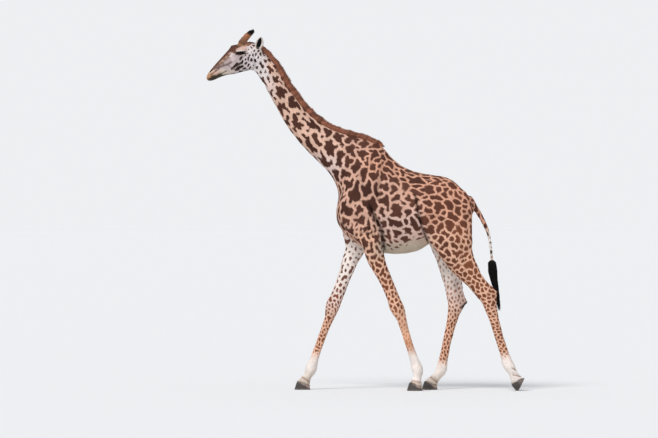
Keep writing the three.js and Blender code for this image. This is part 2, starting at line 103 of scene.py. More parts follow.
def reshaped(mesh, kind, group=(), **settings):
    """The mesh after a modifier of the given type and settings."""
    maker = add_object("maker", mesh)
    if len(group):
        maker.vertex_groups.new(name="group").add([int(i) for i in group], 1.0, "REPLACE")
    step = maker.modifiers.new(kind, kind)
    for word, value in settings.items():
        setattr(step, word, value)
    made = bpy.data.meshes.new_from_object(maker.evaluated_get(bpy.context.evaluated_depsgraph_get()))
    bpy.data.objects.remove(maker)
    return made


def as_mesh(shape, name="made"):
    mesh = bpy.data.meshes.new(name)
    shape.to_mesh(mesh)
    shape.free()
    return mesh


def as_ordered_mesh(shape, name):
    """As as_mesh, with the faces in the same order in each run, which a sphere's own aren't."""
    shape.verts.index_update()
    rings = [[vert.index for vert in face.verts] for face in shape.faces]
    starts = [ring.index(min(ring)) for ring in rings]
    mesh = bpy.data.meshes.new(name)
    mesh.from_pydata([vert.co for vert in shape.verts], [],
                     sorted(ring[start:] + ring[:start] for ring, start in zip(rings, starts)))
    shape.free()
    return mesh


def merged_copy(nodes, swell):
    """The nodes' solids as one bmesh, each with its surface moved outwards by the swell."""
    whole = bmesh.new()
    for name in nodes:
        one = bmesh.new()
        one.from_mesh(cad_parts[name].data)
        bmesh.ops.remove_doubles(one, verts=one.verts, dist=1e-5)
        bmesh.ops.recalc_face_normals(one, faces=one.faces)
        one.normal_update()
        for vert in one.verts:
            vert.co += vert.normal * swell
        whole.from_mesh(as_mesh(one))
    return whole


def remeshed(nodes, cell, swell=OVERLAP):
    """One closed mesh of even small faces, made from the nodes' solids."""
    return reshaped(as_mesh(merged_copy(nodes, swell)), "REMESH", mode="VOXEL", voxel_size=cell)


def read(items, word, width, kind=np.float32):
    """A mesh's own numbers, as one row for each item."""
    flat = np.empty(len(items) * width, kind)
    items.foreach_get(word, flat)
    return flat.reshape(-1, width)


def places(mesh):
    return read(mesh.vertices, "co", 3).astype(float)


def normals(mesh):
    return read(mesh.vertex_normals, "vector", 3).astype(float)


def edges_of(mesh):
    return read(mesh.edges, "vertices", 2, np.int32)


def set_places(mesh, points):
    mesh.vertices.foreach_set("co", np.ascontiguousarray(points, np.float32).ravel())
    mesh.update()


def on_side(place, side):
    """A place or way of the right side, taken to the given side."""
    return np.array([place.x, place.y * side, place.z])


def share_along(points, foot, way):
    """How far along the way each point lies: 0 at its foot, 1 at its end."""
    return (points - foot) @ way / (way @ way)


def unit(ways, least=1e-9):
    return ways / np.maximum(np.linalg.norm(ways, axis=-1, keepdims=True), least)


def ramp(value, low, high):
    """0 below low, 1 above high, with a smooth step between; low may be above high."""
    share = np.clip((value - low) / (high - low), 0, 1)
    return share * share * (3 - 2 * share)


def along_skin(way, facing, least=1e-9):
    """Ways laid flat on the skin, 1 long."""
    return unit(way - (way * facing).sum(1)[:, None] * facing, least)


def slanted(angle):
    """Ways in the side view, at angles up from +X."""
    return np.stack([np.cos(angle), 0 * angle, np.sin(angle)], 1)


def spread(edges, values, times, share=0.5):
    """Values at the vertices, evened out along the edges; share may differ from vertex to vertex."""
    ends = np.concatenate([edges, edges[:, ::-1]])
    count = np.maximum(np.bincount(ends[:, 0], minlength=len(values)), 1)
    columns = values.reshape(len(values), -1).astype(float).copy()
    share = np.broadcast_to(share, len(values))
    for _ in range(times):
        for column in columns.T:
            mean = np.bincount(ends[:, 0], column[ends[:, 1]], minlength=len(values)) / count
            column += share * (mean - column)
    return columns.reshape(values.shape)


def softened(mesh, amount, times):
    """Evens out the mesh, each vertex by its own amount."""
    set_places(mesh, spread(edges_of(mesh), places(mesh), times, 0.5 * amount))


def wobble(points, size, seed, waves=20):
    """A smooth random field between about -1 and 1, whose lumps are about `size` wide."""
    dice = np.random.default_rng(seed)
    ways = dice.normal(size=(waves, 3))
    ways /= np.linalg.norm(ways, axis=1)[:, None]
    ways *= (2 * math.pi / size) * dice.uniform(0.35, 0.75, waves)[:, None]
    return np.sin(points @ ways.T + dice.uniform(0, 2 * math.pi, waves)).sum(1) * math.sqrt(1.2 / waves)


def line_distance(points, line):
    """Distance in the side view from each point to a line, whose own places are in millimetres."""
    points = points[:, (0, 2)]
    ends = np.array(line if len(line) > 1 else line * 2) / MM
    best = np.full(len(points), 9.0)
    for start, end in zip(ends[:-1], ends[1:]):
        along = end - start
        share = np.clip((points - start) @ along / max(along @ along, 1e-9), 0, 1)
        best = np.minimum(best, np.linalg.norm(points - start - share[:, None] * along, axis=1))
    return best


def bell(points, line, wide):
    """1 on a line and less beside it. The line and its half width are in millimetres."""
    return np.exp(-(line_distance(points, line) / (wide / MM)) ** 2)


# ---- Skin: shape ----
def flesh_finder():
    """Finds, for each point, the number of the flesh node whose surface is the nearest."""
    corners, faces, owner = [], [], []
    for index, name in enumerate(FLESH):
        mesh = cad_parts[name].data
        faces += [[len(corners) + i for i in face.vertices] for face in mesh.polygons]
        corners += [vert.co.copy() for vert in mesh.vertices]
        owner += [index] * len(mesh.polygons)
    tree = BVHTree.FromPolygons(corners, faces)
    owner = np.array(owner)
    return lambda points: owner[[tree.find_nearest(point)[2] for point in points]]


which_node = flesh_finder()


def owned(owner, *names):
    return np.isin(owner, [FLESH.index(name) for name in names])


def body_shape():
    """The skin below the head: well evened out on the trunk and neck, little on the legs and the tail."""
    mesh = remeshed([name for name in FLESH if name not in EARS], BODY_CELL)
    points = places(mesh)
    fleshy = ramp(points[:, 2], *LEG_TO_TRUNK)
    tail = points[:, 0] - ramp(points[:, 2], 2.1, 1.9) * 0.1 > 1.06
    softened(mesh, np.where(tail, LEAN_SHARE, LEAN_SHARE + (1 - LEAN_SHARE) * fleshy), 100)
    creased = [line_distance(points, line) < 0.035 for line, _, _ in CREASES]
    coarse = np.flatnonzero((points[:, 2] > 1.2) & ~tail & ~np.any(creased, axis=0))
    return reshaped(mesh, "DECIMATE", coarse, ratio=BODY_SHARE, vertex_group="group")


def head_shape():
    """The skin of the head and upper neck, with the horns' feet and the eyeballs under it."""
    pairs = [f"{part}_{word}" for part in ("ear", "horn", "eye") for word in SIDES]
    mesh = remeshed(["head", "neck", *pairs], FACE_CELL)
    points = places(mesh)
    ear_like = spread(edges_of(mesh), owned(which_node(points), *EARS).astype(float), 4)
    horn_like = ramp(points[:, 2] - 0.5 * (points[:, 0] + 1.3), 3.68, 3.72)
    softened(mesh, 1 - 0.85 * np.maximum(ear_like, 0.7 * horn_like), 34)
    return mesh


def skin_shape():
    """The body's and the head's skins, cut across the upper neck and bridged."""
    whole = bmesh.new()
    for mesh, is_head in ((body_shape(), False), (head_shape(), True)):
        part = bmesh.new()
        part.from_mesh(mesh)
        cut = NECK_JOIN + NECK_WAY * BODY_CELL / 2 * (1 if is_head else -1)
        bmesh.ops.bisect_plane(part, geom=[*part.verts, *part.edges, *part.faces], plane_co=cut,
                               plane_no=NECK_WAY, clear_inner=is_head, clear_outer=not is_head)
        whole.from_mesh(as_mesh(part))
    bmesh.ops.bridge_loops(whole, edges=[edge for edge in whole.edges if edge.is_boundary])
    bmesh.ops.triangulate(whole, faces=[face for face in whole.faces if len(face.verts) > 4])
    near = [vert for vert in whole.verts if abs((vert.co - NECK_JOIN).dot(NECK_WAY)) < 0.03]
    for _ in range(8):
        bmesh.ops.smooth_vert(whole, verts=near, factor=0.5,
                              use_axis_x=True, use_axis_y=True, use_axis_z=True)

    def refine(edges):
        bmesh.ops.subdivide_edges(whole, edges=edges, cuts=1, use_grid_fill=True)

    for word, side in SIDES.items():
        lid = EYE[word] + Vector((0, side * EYE_RADIUS, 0))
        for reach in (0.038, 0.030):
            refine([edge for edge in whole.edges if (edge.verts[0].co - lid).length < reach])
    for reach in (0.016, 0.011):
        whole.verts.ensure_lookup_table()
        fine = line_distance(np.array([vert.co for vert in whole.verts]), NOSTRIL) < reach
        refine([edge for edge in whole.edges if any(fine[vert.index] for vert in edge.verts)])
    bmesh.ops.recalc_face_normals(whole, faces=whole.faces)
    return as_mesh(whole, "skin")


# ---- Skin: muscles, bones and folds ----
# Ridges and furrows drawn on the side of the body, by the node that they start on. Each: a line of
# (x, z) points, half width and height, all in millimetres.
NOSTRIL = [(-1650, 3371), (-1637, 3387), (-1618, 3400)]
MOUTH = [(-1684, 3300), (-1645, 3303), (-1550, 3345), (-1465, 3387)]
STROKES = {
    "trunk": [
        ([(40, 2470), (-120, 2180), (-220, 2000)], 50, 10),  # ridge of the shoulder blade
        ([(-100, 2460), (-240, 2200), (-310, 2040)], 40, -10),  # in front of it
        ([(190, 2340), (160, 2140), (120, 1980)], 32, -14),  # behind it
        ([(-270, 1940)], 70, 14),  # point of the shoulder
        ([(-180, 1860), (-50, 1800), (60, 1840)], 35, -10),
        ([(100, 1840), (150, 1760)], 34, -12),  # the hollow behind the elbow
        ([(0, 1770), (90, 1710), (145, 1630)], 16, 13),  # fold of loose skin over it
        ([(235, 1860), (275, 1740), (290, 1600)], 30, 8),
        ([(50, 1860), (80, 1720), (100, 1600)], 50, 10),  # the long muscle over the elbow
        ([(120, 1600)], 45, 12),  # elbow
        ([(500, 1960), (535, 1800), (590, 1660)], 30, 7),  # belly side of the flank's fold
        ([(610, 1980), (655, 1760), (705, 1600)], 34, 15),  # front edge of the thigh
        ([(590, 2100)], 70, -14),  # hollow of the flank
        ([(740, 2190)], 50, 14),  # hip
        ([(1060, 2020)], 45, 10),  # seat bone
        ([(920, 2100)], 60, -6),
        ([(980, 1920), (1010, 1680), (1060, 1450)], 26, -8),  # between the thigh's muscles
        ([(720, 1560)], 50, 10),  # stifle
    ],
    "neck": [
        ([(-1090, 3380), (-830, 2950), (-530, 2500), (-400, 2280)], 24, -6),  # gullet's furrow
        ([(-1000, 3400), (-780, 3060), (-550, 2760), (-200, 2540)], 40, 6),  # neck bones
    ],
    "foreleg_left": [
        ([(370, 790), (530, 280)], 10, -5),  # between shin and sinew
        ([(330, 930), (360, 840)], 22, 5),  # knees
        ([(470, 110), (580, 86)], 9, -6),
    ],
    "foreleg_right": [
        ([(-360, 790), (-560, 280)], 10, -5),
        ([(-320, 930), (-350, 840)], 22, 5),
        ([(-690, 144), (-580, 76)], 8, -7),
        ([(-670, 168), (-560, 104)], 10, 4),
    ],
    "hindleg_left": [
        ([(1330, 880), (1500, 340)], 10, -5),
        ([(1170, 1220), (1270, 1080)], 22, -12),  # in front of the heel's sinew
        ([(1548, 245), (1612, 212)], 8, -7),  # folds of the pasterns
        ([(1548, 208), (1612, 180)], 10, 5),
        ([(1556, 172), (1645, 148)], 8, -7),
    ],
    "hindleg_right": [
        ([(960, 820), (830, 280)], 10, -5),
        ([(980, 1200), (1000, 1040)], 22, -12),
        ([(690, 136), (775, 74)], 8, -7),
        ([(700, 166), (800, 100)], 10, 5),
    ],
    "head": [
        (MOUTH, 5.5, -7),
        ([(-1660, 3325), (-1560, 3364), (-1490, 3396)], 13, 4),  # upper lip
        ([(-1650, 3288), (-1580, 3312)], 12, 3),  # lower lip
        (NOSTRIL, 6.2, -13),
        ([(-1655, 3404), (-1625, 3428)], 9, 4),
        ([(-1636, 3372), (-1606, 3396)], 10, 3),
        ([(-1350, 3530), (-1450, 3455), (-1550, 3405)], 18, 6),  # ridge of the cheek
        ([(-1400, 3585), (-1500, 3500), (-1580, 3430)], 22, -4),
        ([(-1270, 3460)], 50, 6),  # chewing muscle
        ([(-1360, 3470), (-1340, 3410)], 16, -5),
        ([(-1200, 3540), (-1190, 3440), (-1240, 3390)], 16, 5),  # edge of the jaw
        ([(-1165, 3540), (-1150, 3430)], 18, -8),
        ([(-1240, 3600)], 26, -6),  # temple
        ([(-1385, 3596), (-1330, 3622), (-1270, 3608)], 13, 6),  # brow
        ([(-1372, 3540), (-1320, 3526), (-1275, 3540)], 8, -4),  # under the eye
    ],
}
# The deep folds of the trunk, where the coat is painted darkest as shade: a line, half width and depth.
CREASES = [
    ([(45, 1955), (105, 1830), (160, 1735), (190, 1620), (200, 1490)], 19, 34),
    ([(528, 2070), (562, 1860), (597, 1735), (640, 1620), (680, 1540)], 12, 24),
    ([(-55, 1680), (40, 1668), (100, 1635)], 12, 13),
    ([(134, 2160), (128, 2010)], 10, 10),
    ([(10, 1735), (85, 1685), (135, 1600)], 10, 9),
]
# The same as STROKES, but all round a leg or the tail, so that they change its outline.
OUTLINE_STROKES = {
    "hindleg_left": [
        ([(1402, 1052)], 22, 7),  # points of the heels
        ([(1600, 300), (1730, 292)], 10, -7),  # folds of the fetlock that is bent
        ([(1630, 262), (1760, 246)], 10, -7),
        ([(1630, 281), (1740, 270)], 10, 4),
        ([(1620, 330), (1720, 325)], 12, 4),
    ],
    "hindleg_right": [
        ([(1078, 932)], 22, 10),
        ([(1045, 1060), (1050, 1000)], 26, -6),  # hollow above one
    ],
    "tail": [
        ([(1280, 1740), (1320, 1560), (1345, 1380)], 90, 5),  # gives back what the evening out took
    ],
}
LEG_TOP = 1.4  # the strokes of the legs end below this height, and the others above it
RIBS = {"from": (0.28, 2.12), "to": (0.66, 1.62), "apart": 0.078, "lean": 0.35, "height": 0.0028}
LOIN_FOLDS = {"at": (0.56, 2.215), "reach": (0.075, 0.030), "apart": 0.021, "height": 0.004}
SKIN_WAVES = {"height": 0.0012, "size": 0.09}
LID_OPEN = {"long": math.radians(72), "up": math.radians(26), "down": math.radians(31)}
LID_THICK = 0.0035
LID_GROOVE = {"out": 0.009, "deep": 0.0022, "wide": 0.0022}  # the furrow around the lids
LID_BLEND = (0.008, 0.024)  # distances outside the opening between which the lid turns into the face
BALL_DEPTH = 0.006  # how far behind the eyeball's surface the skin lies in the opening
LID_REACH = 0.07  # how far from the eye's middle the lids shape the skin


def own_part(points, owner, node):
    """Where the skin belongs to the node, on the node's own side if it has one."""
    side = SIDES.get(node.rpartition("_")[2])
    return owned(owner, node) & ((side is None) | (np.sign(points[:, 1]) == side))


def sculpted(points, facing, owner):
    """How far the skin stands out or in at each point."""
    height = np.zeros(len(points))
    sideways = ramp(np.abs(facing[:, 1]), 0.15, 0.6)
    low_down = points[:, 2] < LEG_TOP
    for node, rows in STROKES.items():
        here = np.flatnonzero(low_down & own_part(points, owner, node) if node in LEGS else ~low_down)
        for line, wide, high in rows:
            height[here] += high / MM * bell(points[here], line, wide) * sideways[here]
    for node, rows in OUTLINE_STROKES.items():
        here = np.flatnonzero(own_part(points, owner, node))
        for line, wide, high in rows:
            height[here] += high / MM * bell(points[here], line, wide)
    for line, wide, deep in CREASES:
        taper = (ramp(line_distance(points, line[:1]), 0, 0.06)
                 * ramp(line_distance(points, line[-1:]), 0, 0.05))
        height -= deep / MM * bell(points, line, wide) * taper * sideways
    x, z = points[:, 0], points[:, 2]
    (front, top), (rear, bottom) = RIBS["from"], RIBS["to"]
    ribbed = (ramp(x, front - 0.05, front + 0.05) * ramp(x, rear - 0.06, rear - 0.16)
              * ramp(z, bottom - 0.08, bottom + 0.06) * ramp(z, top + 0.02, top - 0.12))
    turn = (x + RIBS["lean"] * (z - top)) * 2 * math.pi / RIBS["apart"]
    height += RIBS["height"] * np.cos(turn) * ribbed * sideways
    x, z = x - LOIN_FOLDS["at"][0], z - LOIN_FOLDS["at"][1]
    near = np.exp(-((x / LOIN_FOLDS["reach"][0]) ** 2 + (z / LOIN_FOLDS["reach"][1]) ** 2))
    turn = (z + 0.12 * x) * 2 * math.pi / LOIN_FOLDS["apart"]
    height += LOIN_FOLDS["height"] * np.cos(turn) * near * sideways
    return height + SKIN_WAVES["height"] * wobble(points, SKIN_WAVES["size"], 3)


def lid_lines(along):
    """The opening's arch, and how high the upper and the lower lid's edge lie, as angles."""
    arch = np.maximum(1 - (along / LID_OPEN["long"]) ** 2, 0)
    return arch, LID_OPEN["up"] * arch ** 0.8, -LID_OPEN["down"] * arch


def lid_edge(points, word):
    """Distance outside the opening of the lids, less than 0 in it, and distance from the eye's middle."""
    spoke = points - np.array(EYE[word])
    outward = spoke[:, 1] * SIDES[word]
    along = np.arctan2(spoke[:, 0] + 0.1 * spoke[:, 2], outward)
    up = np.arctan2(spoke[:, 2] - 0.1 * spoke[:, 0], outward)
    _, upper, lower = lid_lines(along)
    past = np.maximum(np.maximum(up - upper, lower - up), (np.abs(along) - LID_OPEN["long"]) * 0.7)
    return np.where(outward > -0.01, past, 2.0) * EYE_RADIUS, np.linalg.norm(spoke, axis=1)


def with_eyelids(points):
    """Skin that lies over the eyeballs as lids, and behind them in the opening."""
    for word in SIDES:
        edge, far = lid_edge(points, word)
        groove = LID_GROOVE["deep"] * np.exp(-((edge - LID_GROOVE["out"]) / LID_GROOVE["wide"]) ** 2)
        lid = EYE_RADIUS + LID_THICK * (1 - 0.5 * ramp(edge, 0.0, 0.004)) - groove
        wanted = lid + (far - lid) * ramp(edge, *LID_BLEND)
        wanted = np.where(edge < 0, EYE_RADIUS - BALL_DEPTH, wanted)
        reach = np.where(far < LID_REACH, wanted / np.maximum(far, 1e-6), 1.0)
        points = np.array(EYE[word]) + (points - np.array(EYE[word])) * reach[:, None]
    return points


def horn_up(points, side):
    """How far up the horn each point lies, and the place on its axis at that height."""
    foot, tip = on_side(HORN_FOOT, side), on_side(HORN_TIP, side)
    up = share_along(points, foot, tip - foot)
    return up, foot + up[:, None] * (tip - foot)


def in_horn(points):
    """How far above the horn's lower edge each point lies; less than 0 below it and away from the horns."""
    above = np.full(len(points), -1.0)
    for side in SIDES.values():
        up, axis = horn_up(points, side)
        near = np.linalg.norm(points - axis, axis=1) < HORN_REACH
        above = np.maximum(above, np.where(near, up - HORN_CUT, -1.0))
    return above


def shape_skin(mesh):
    points, facing = places(mesh), normals(mesh)
    owner = which_node(points)
    depth = sculpted(points, facing, owner) - COAT_DEPTH
    depth = np.where(in_horn(points) > 0, -HORN_BASE_DEPTH, np.where(owned(owner, *EARS), 0, depth))
    set_places(mesh, with_eyelids(points + facing * depth[:, None]))


# ---- Markings: tones and tables ----
def tone(*screen):
    """A colour, given as 0 to 255 a channel the way a screen shows it, in linear light."""
    share = np.array(screen) / 255
    return np.where(share <= 0.04045, share / 12.92, ((share + 0.055) / 1.055) ** 2.4)


TONES = {word: tone(*screen) for word, screen in {
    "salmon": (223, 183, 162), "sand": (213, 168, 147), "apricot": (218, 163, 136), "peach": (228, 180, 152),
    "shell": (228, 202, 192), "chalk": (226, 216, 214), "stone": (196, 180, 160), "milk": (240, 228, 220),
    "fawn": (196, 146, 112), "rose": (214, 180, 166), "cream": (218, 202, 184), "nut": (148, 106, 84),
    "umber": (78, 47, 37), "cocoa": (88, 54, 43), "brick": (103, 61, 46), "rust": (122, 72, 50),
    "soot": (66, 46, 42), "pitch": (15, 12, 12), "bark": (106, 70, 57), "olive": (84, 78, 58),
    "mane": (199, 132, 104), "jet": (17, 15, 16), "tan": (212, 160, 128), "russet": (170, 112, 82),
    "horn": (184, 122, 84), "dust": (158, 124, 104), "mauve": (104, 80, 78), "moss": (66, 60, 50),
    "lilac": (218, 199, 198), "pearl": (210, 196, 196), "ash": (160, 154, 150), "ginger": (180, 130, 92),
    "coal": (44, 32, 28),
}.items()}
# How the coat is marked, place by place. Each row: x, z, spacing of the patches and pale gap between
# them, in millimetres; how much longer than wide they are; their slant, in degrees up from +X; the pale
# tone and the dark tone.
BODY_COAT = [
    (-1140, 3440, 52, 22, 1.5, 100, "chalk", "soot"),
    (-1060, 3380, 72, 24, 1.5, 106, "chalk", "umber"),
    (-1000, 3400, 78, 24, 1.6, 112, "salmon", "umber"),
    (-1020, 3200, 94, 25, 1.5, 108, "shell", "umber"),
    (-870, 3240, 100, 22, 1.5, 122, "salmon", "umber"),
    (-880, 3000, 108, 25, 1.8, 112, "salmon", "umber"),
    (-720, 2980, 108, 23, 1.7, 124, "salmon", "umber"),
    (-600, 2780, 112, 25, 1.7, 130, "salmon", "umber"),
    (-660, 2600, 116, 27, 1.9, 112, "salmon", "umber"),
    (-380, 2620, 114, 22, 1.4, 70, "salmon", "umber"),
    (-420, 2380, 120, 27, 1.6, 112, "shell", "umber"),
    (-100, 2540, 98, 17, 1.3, 62, "sand", "cocoa"),
    (100, 2440, 80, 14, 1.2, 40, "apricot", "cocoa"),
    (-150, 2220, 106, 19, 1.5, 72, "sand", "umber"),
    (-270, 1980, 106, 20, 1.5, 84, "sand", "umber"),
    (-80, 1820, 96, 19, 1.4, 60, "sand", "cocoa"),
    (60, 2050, 102, 19, 1.5, 118, "sand", "umber"),
    (240, 2140, 98, 17, 1.3, 84, "sand", "cocoa"),
    (360, 1970, 110, 20, 1.3, 90, "sand", "cocoa"),
    (300, 1760, 90, 19, 1.3, 120, "rose", "umber"),
    (500, 1800, 100, 19, 1.2, 90, "rose", "umber"),
    (270, 1620, 70, 18, 1.6, 140, "rose", "cocoa"),
    (400, 1620, 74, 19, 1.3, 20, "rose", "cocoa"),
    (540, 1640, 78, 21, 1.3, 10, "rose", "cocoa"),
    (260, 1510, 56, 20, 1.4, 150, "stone", "bark"),
    (420, 1540, 52, 26, 1.3, 10, "stone", "bark"),
    (540, 1540, 60, 60, 1.3, 10, "stone", "bark"),
    (460, 1470, 60, 60, 1.3, 10, "stone", "bark"),
    (320, 2350, 68, 12, 1.5, -32, "apricot", "cocoa"),
    (560, 2220, 66, 12, 1.9, -8, "apricot", "cocoa"),
    (860, 2200, 78, 15, 1.2, -20, "apricot", "brick"),
    (1040, 2050, 62, 14, 1.2, -55, "apricot", "brick"),
    (800, 2020, 84, 14, 1.2, 0, "apricot", "brick"),
    (970, 1860, 73, 14, 1.2, -25, "apricot", "brick"),
    (700, 1840, 82, 16, 1.2, 10, "apricot", "brick"),
    (820, 1660, 64, 14, 1.2, 20, "peach", "brick"),
    (1050, 1620, 56, 14, 1.2, -30, "peach", "rust"),
    (800, 1480, 56, 14, 1.2, 30, "peach", "brick"),
    (20, 1600, 78, 17, 1.4, 70, "peach", "cocoa"),
]
HEAD_COAT = [
    (-1680, 3320, 50, 90, 1.0, 0, "fawn", "fawn"),
    (-1650, 3410, 50, 30, 1.4, 45, "fawn", "bark"),
    (-1600, 3450, 30, 10, 2.0, 48, "fawn", "bark"),
    (-1545, 3505, 35, 2, 1.8, 50, "nut", "bark"),
    (-1490, 3560, 50, -20, 1.5, 50, "cocoa", "cocoa"),
    (-1430, 3630, 60, -30, 1.3, 40, "cocoa", "cocoa"),
    (-1360, 3655, 60, -30, 1.3, 20, "cocoa", "cocoa"),
    (-1310, 3690, 60, -30, 1.3, 20, "bark", "bark"),
    (-1220, 3700, 60, -10, 1.3, -10, "nut", "bark"),
    (-1190, 3660, 40, 12, 1.3, -10, "chalk", "bark"),
    (-1560, 3435, 40, 60, 2.2, 38, "lilac", "dust"),
    (-1580, 3385, 50, 80, 1.4, 35, "rose", "dust"),
    (-1610, 3300, 50, -30, 1.5, 25, "olive", "olive"),
    (-1530, 3325, 50, -10, 1.5, 25, "olive", "olive"),
    (-1500, 3375, 50, 60, 1.5, 20, "cream", "dust"),
    (-1500, 3430, 40, 60, 2.4, 35, "lilac", "dust"),
    (-1430, 3460, 40, 60, 2.0, 40, "lilac", "dust"),
    (-1460, 3510, 40, 60, 2.0, 45, "lilac", "dust"),
    (-1415, 3550, 40, 40, 1.5, 40, "lilac", "dust"),
    (-1400, 3605, 50, -10, 1.5, 40, "cocoa", "cocoa"),
    (-1335, 3605, 50, 60, 1.5, 40, "rose", "dust"),
    (-1430, 3410, 34, 10, 2.6, 40, "lilac", "umber"),
    (-1360, 3440, 38, 10, 2.6, 46, "lilac", "soot"),
    (-1300, 3490, 27, 11, 1.9, 60, "pearl", "coal"),
    (-1310, 3405, 31, 10, 2.2, 38, "pearl", "coal"),
    (-1250, 3430, 27, 11, 2.0, 60, "pearl", "coal"),
    (-1250, 3520, 26, 11, 1.9, 80, "pearl", "coal"),
    (-1290, 3610, 50, 60, 1.2, 10, "rose", "bark"),
    (-1220, 3600, 30, 18, 1.4, 90, "chalk", "umber"),
    (-1170, 3520, 30, 15, 1.8, 95, "chalk", "coal"),
    (-1180, 3420, 42, 34, 1.4, 80, "chalk", "soot"),
    (-1120, 3640, 50, 12, 1.4, 60, "milk", "bark"),
]
# The legs' and the tail's rows run by height, so they have no x.
FORELEG_COAT = [
    (1600, 76, 18, 1.4, 70, "peach", "brick"),
    (1350, 56, 14, 1.3, 75, "peach", "brick"),
    (1100, 44, 13, 1.2, 80, "peach", "rust"),
    (880, 37, 14, 1.3, 85, "peach", "rust"),
    (740, 30, 17, 1.4, 88, "peach", "russet"),
    (600, 24, 12, 1.5, 88, "peach", "horn"),
    (480, 22, 9, 1.5, 88, "tan", "horn"),
    (360, 24, 26, 1.4, 88, "milk", "tan"),
    (290, 30, 40, 1.2, 88, "milk", "dust"),
    (120, 30, 50, 1.2, 88, "milk", "dust"),
    (40, 30, 50, 1.2, 88, "stone", "dust"),
]
HINDLEG_COAT = [
    (1600, 62, 14, 1.2, 30, "peach", "brick"),
    (1350, 52, 12, 1.2, 60, "peach", "rust"),
    (1120, 46, 12, 1.2, 130, "peach", "rust"),
    (920, 36, 12, 1.2, 160, "peach", "rust"),
    (650, 28, 9, 1.5, 165, "peach", "rust"),
    (420, 24, 8, 1.5, 165, "peach", "rust"),
    (330, 24, 24, 1.3, 170, "milk", "tan"),
    (270, 30, 40, 1.2, 90, "milk", "dust"),
    (120, 30, 50, 1.2, 90, "milk", "dust"),
    (40, 30, 50, 1.2, 90, "stone", "dust"),
]
INNER_COAT = [
    (1600, 60, 26, 1.3, 80, "milk", "bark"),
    (1200, 42, 21, 1.4, 85, "milk", "bark"),
    (950, 34, 15, 1.3, 85, "shell", "rust"),
    (720, 30, 11, 1.3, 88, "peach", "rust"),
    (420, 26, 9, 1.4, 88, "peach", "rust"),
    (310, 24, 28, 1.3, 88, "milk", "tan"),
    (240, 30, 45, 1.2, 88, "milk", "dust"),
    (40, 30, 50, 1.2, 88, "stone", "dust"),
]
INNER_HIND_COAT = [
    (1600, 50, 34, 1.3, 80, "milk", "nut"),
    (1200, 40, 25, 1.3, 85, "milk", "nut"),
    (1000, 36, 17, 1.3, 85, "shell", "nut"),
    (720, 30, 11, 1.3, 88, "peach", "rust"),
    (330, 25, 9, 1.4, 88, "peach", "rust"),
    (250, 24, 20, 1.3, 88, "milk", "tan"),
    (190, 30, 45, 1.2, 88, "milk", "dust"),
    (40, 30, 50, 1.2, 88, "stone", "dust"),
]
TAIL_COAT = [
    (2100, 50, 12, 1.3, 120, "apricot", "brick"),
    (1750, 44, 13, 1.5, 110, "apricot", "cocoa"),
    (1620, 38, 16, 1.5, 100, "milk", "soot"),
    (1450, 30, 14, 1.4, 95, "milk", "soot"),
    (1380, 30, 30, 1.4, 95, "peach", "soot"),
]
EAR_COAT = [
    (3900, 50, 120, 1.0, 60, "milk", "dust"),
    (3500, 50, 120, 1.0, 60, "milk", "dust"),
]


def flecks(start, end, wide, number):
    """Short streaks of two tones, scattered beside a line and lying along it."""
    dice = np.random.default_rng(12)
    start, way = np.array(start), np.subtract(end, start)
    across = np.array([way[1], -way[0]]) / math.hypot(*way)
    made = []
    for index in range(number):
        spot = start + dice.uniform() * way + dice.uniform(-0.3, 1) * wide * across
        long = dice.uniform(0.03, 0.08) * way
        made.append(([tuple(spot), tuple(spot + long)], 5.2, ("bark", "cream", "bark")[index % 3], 0.55))
    return made


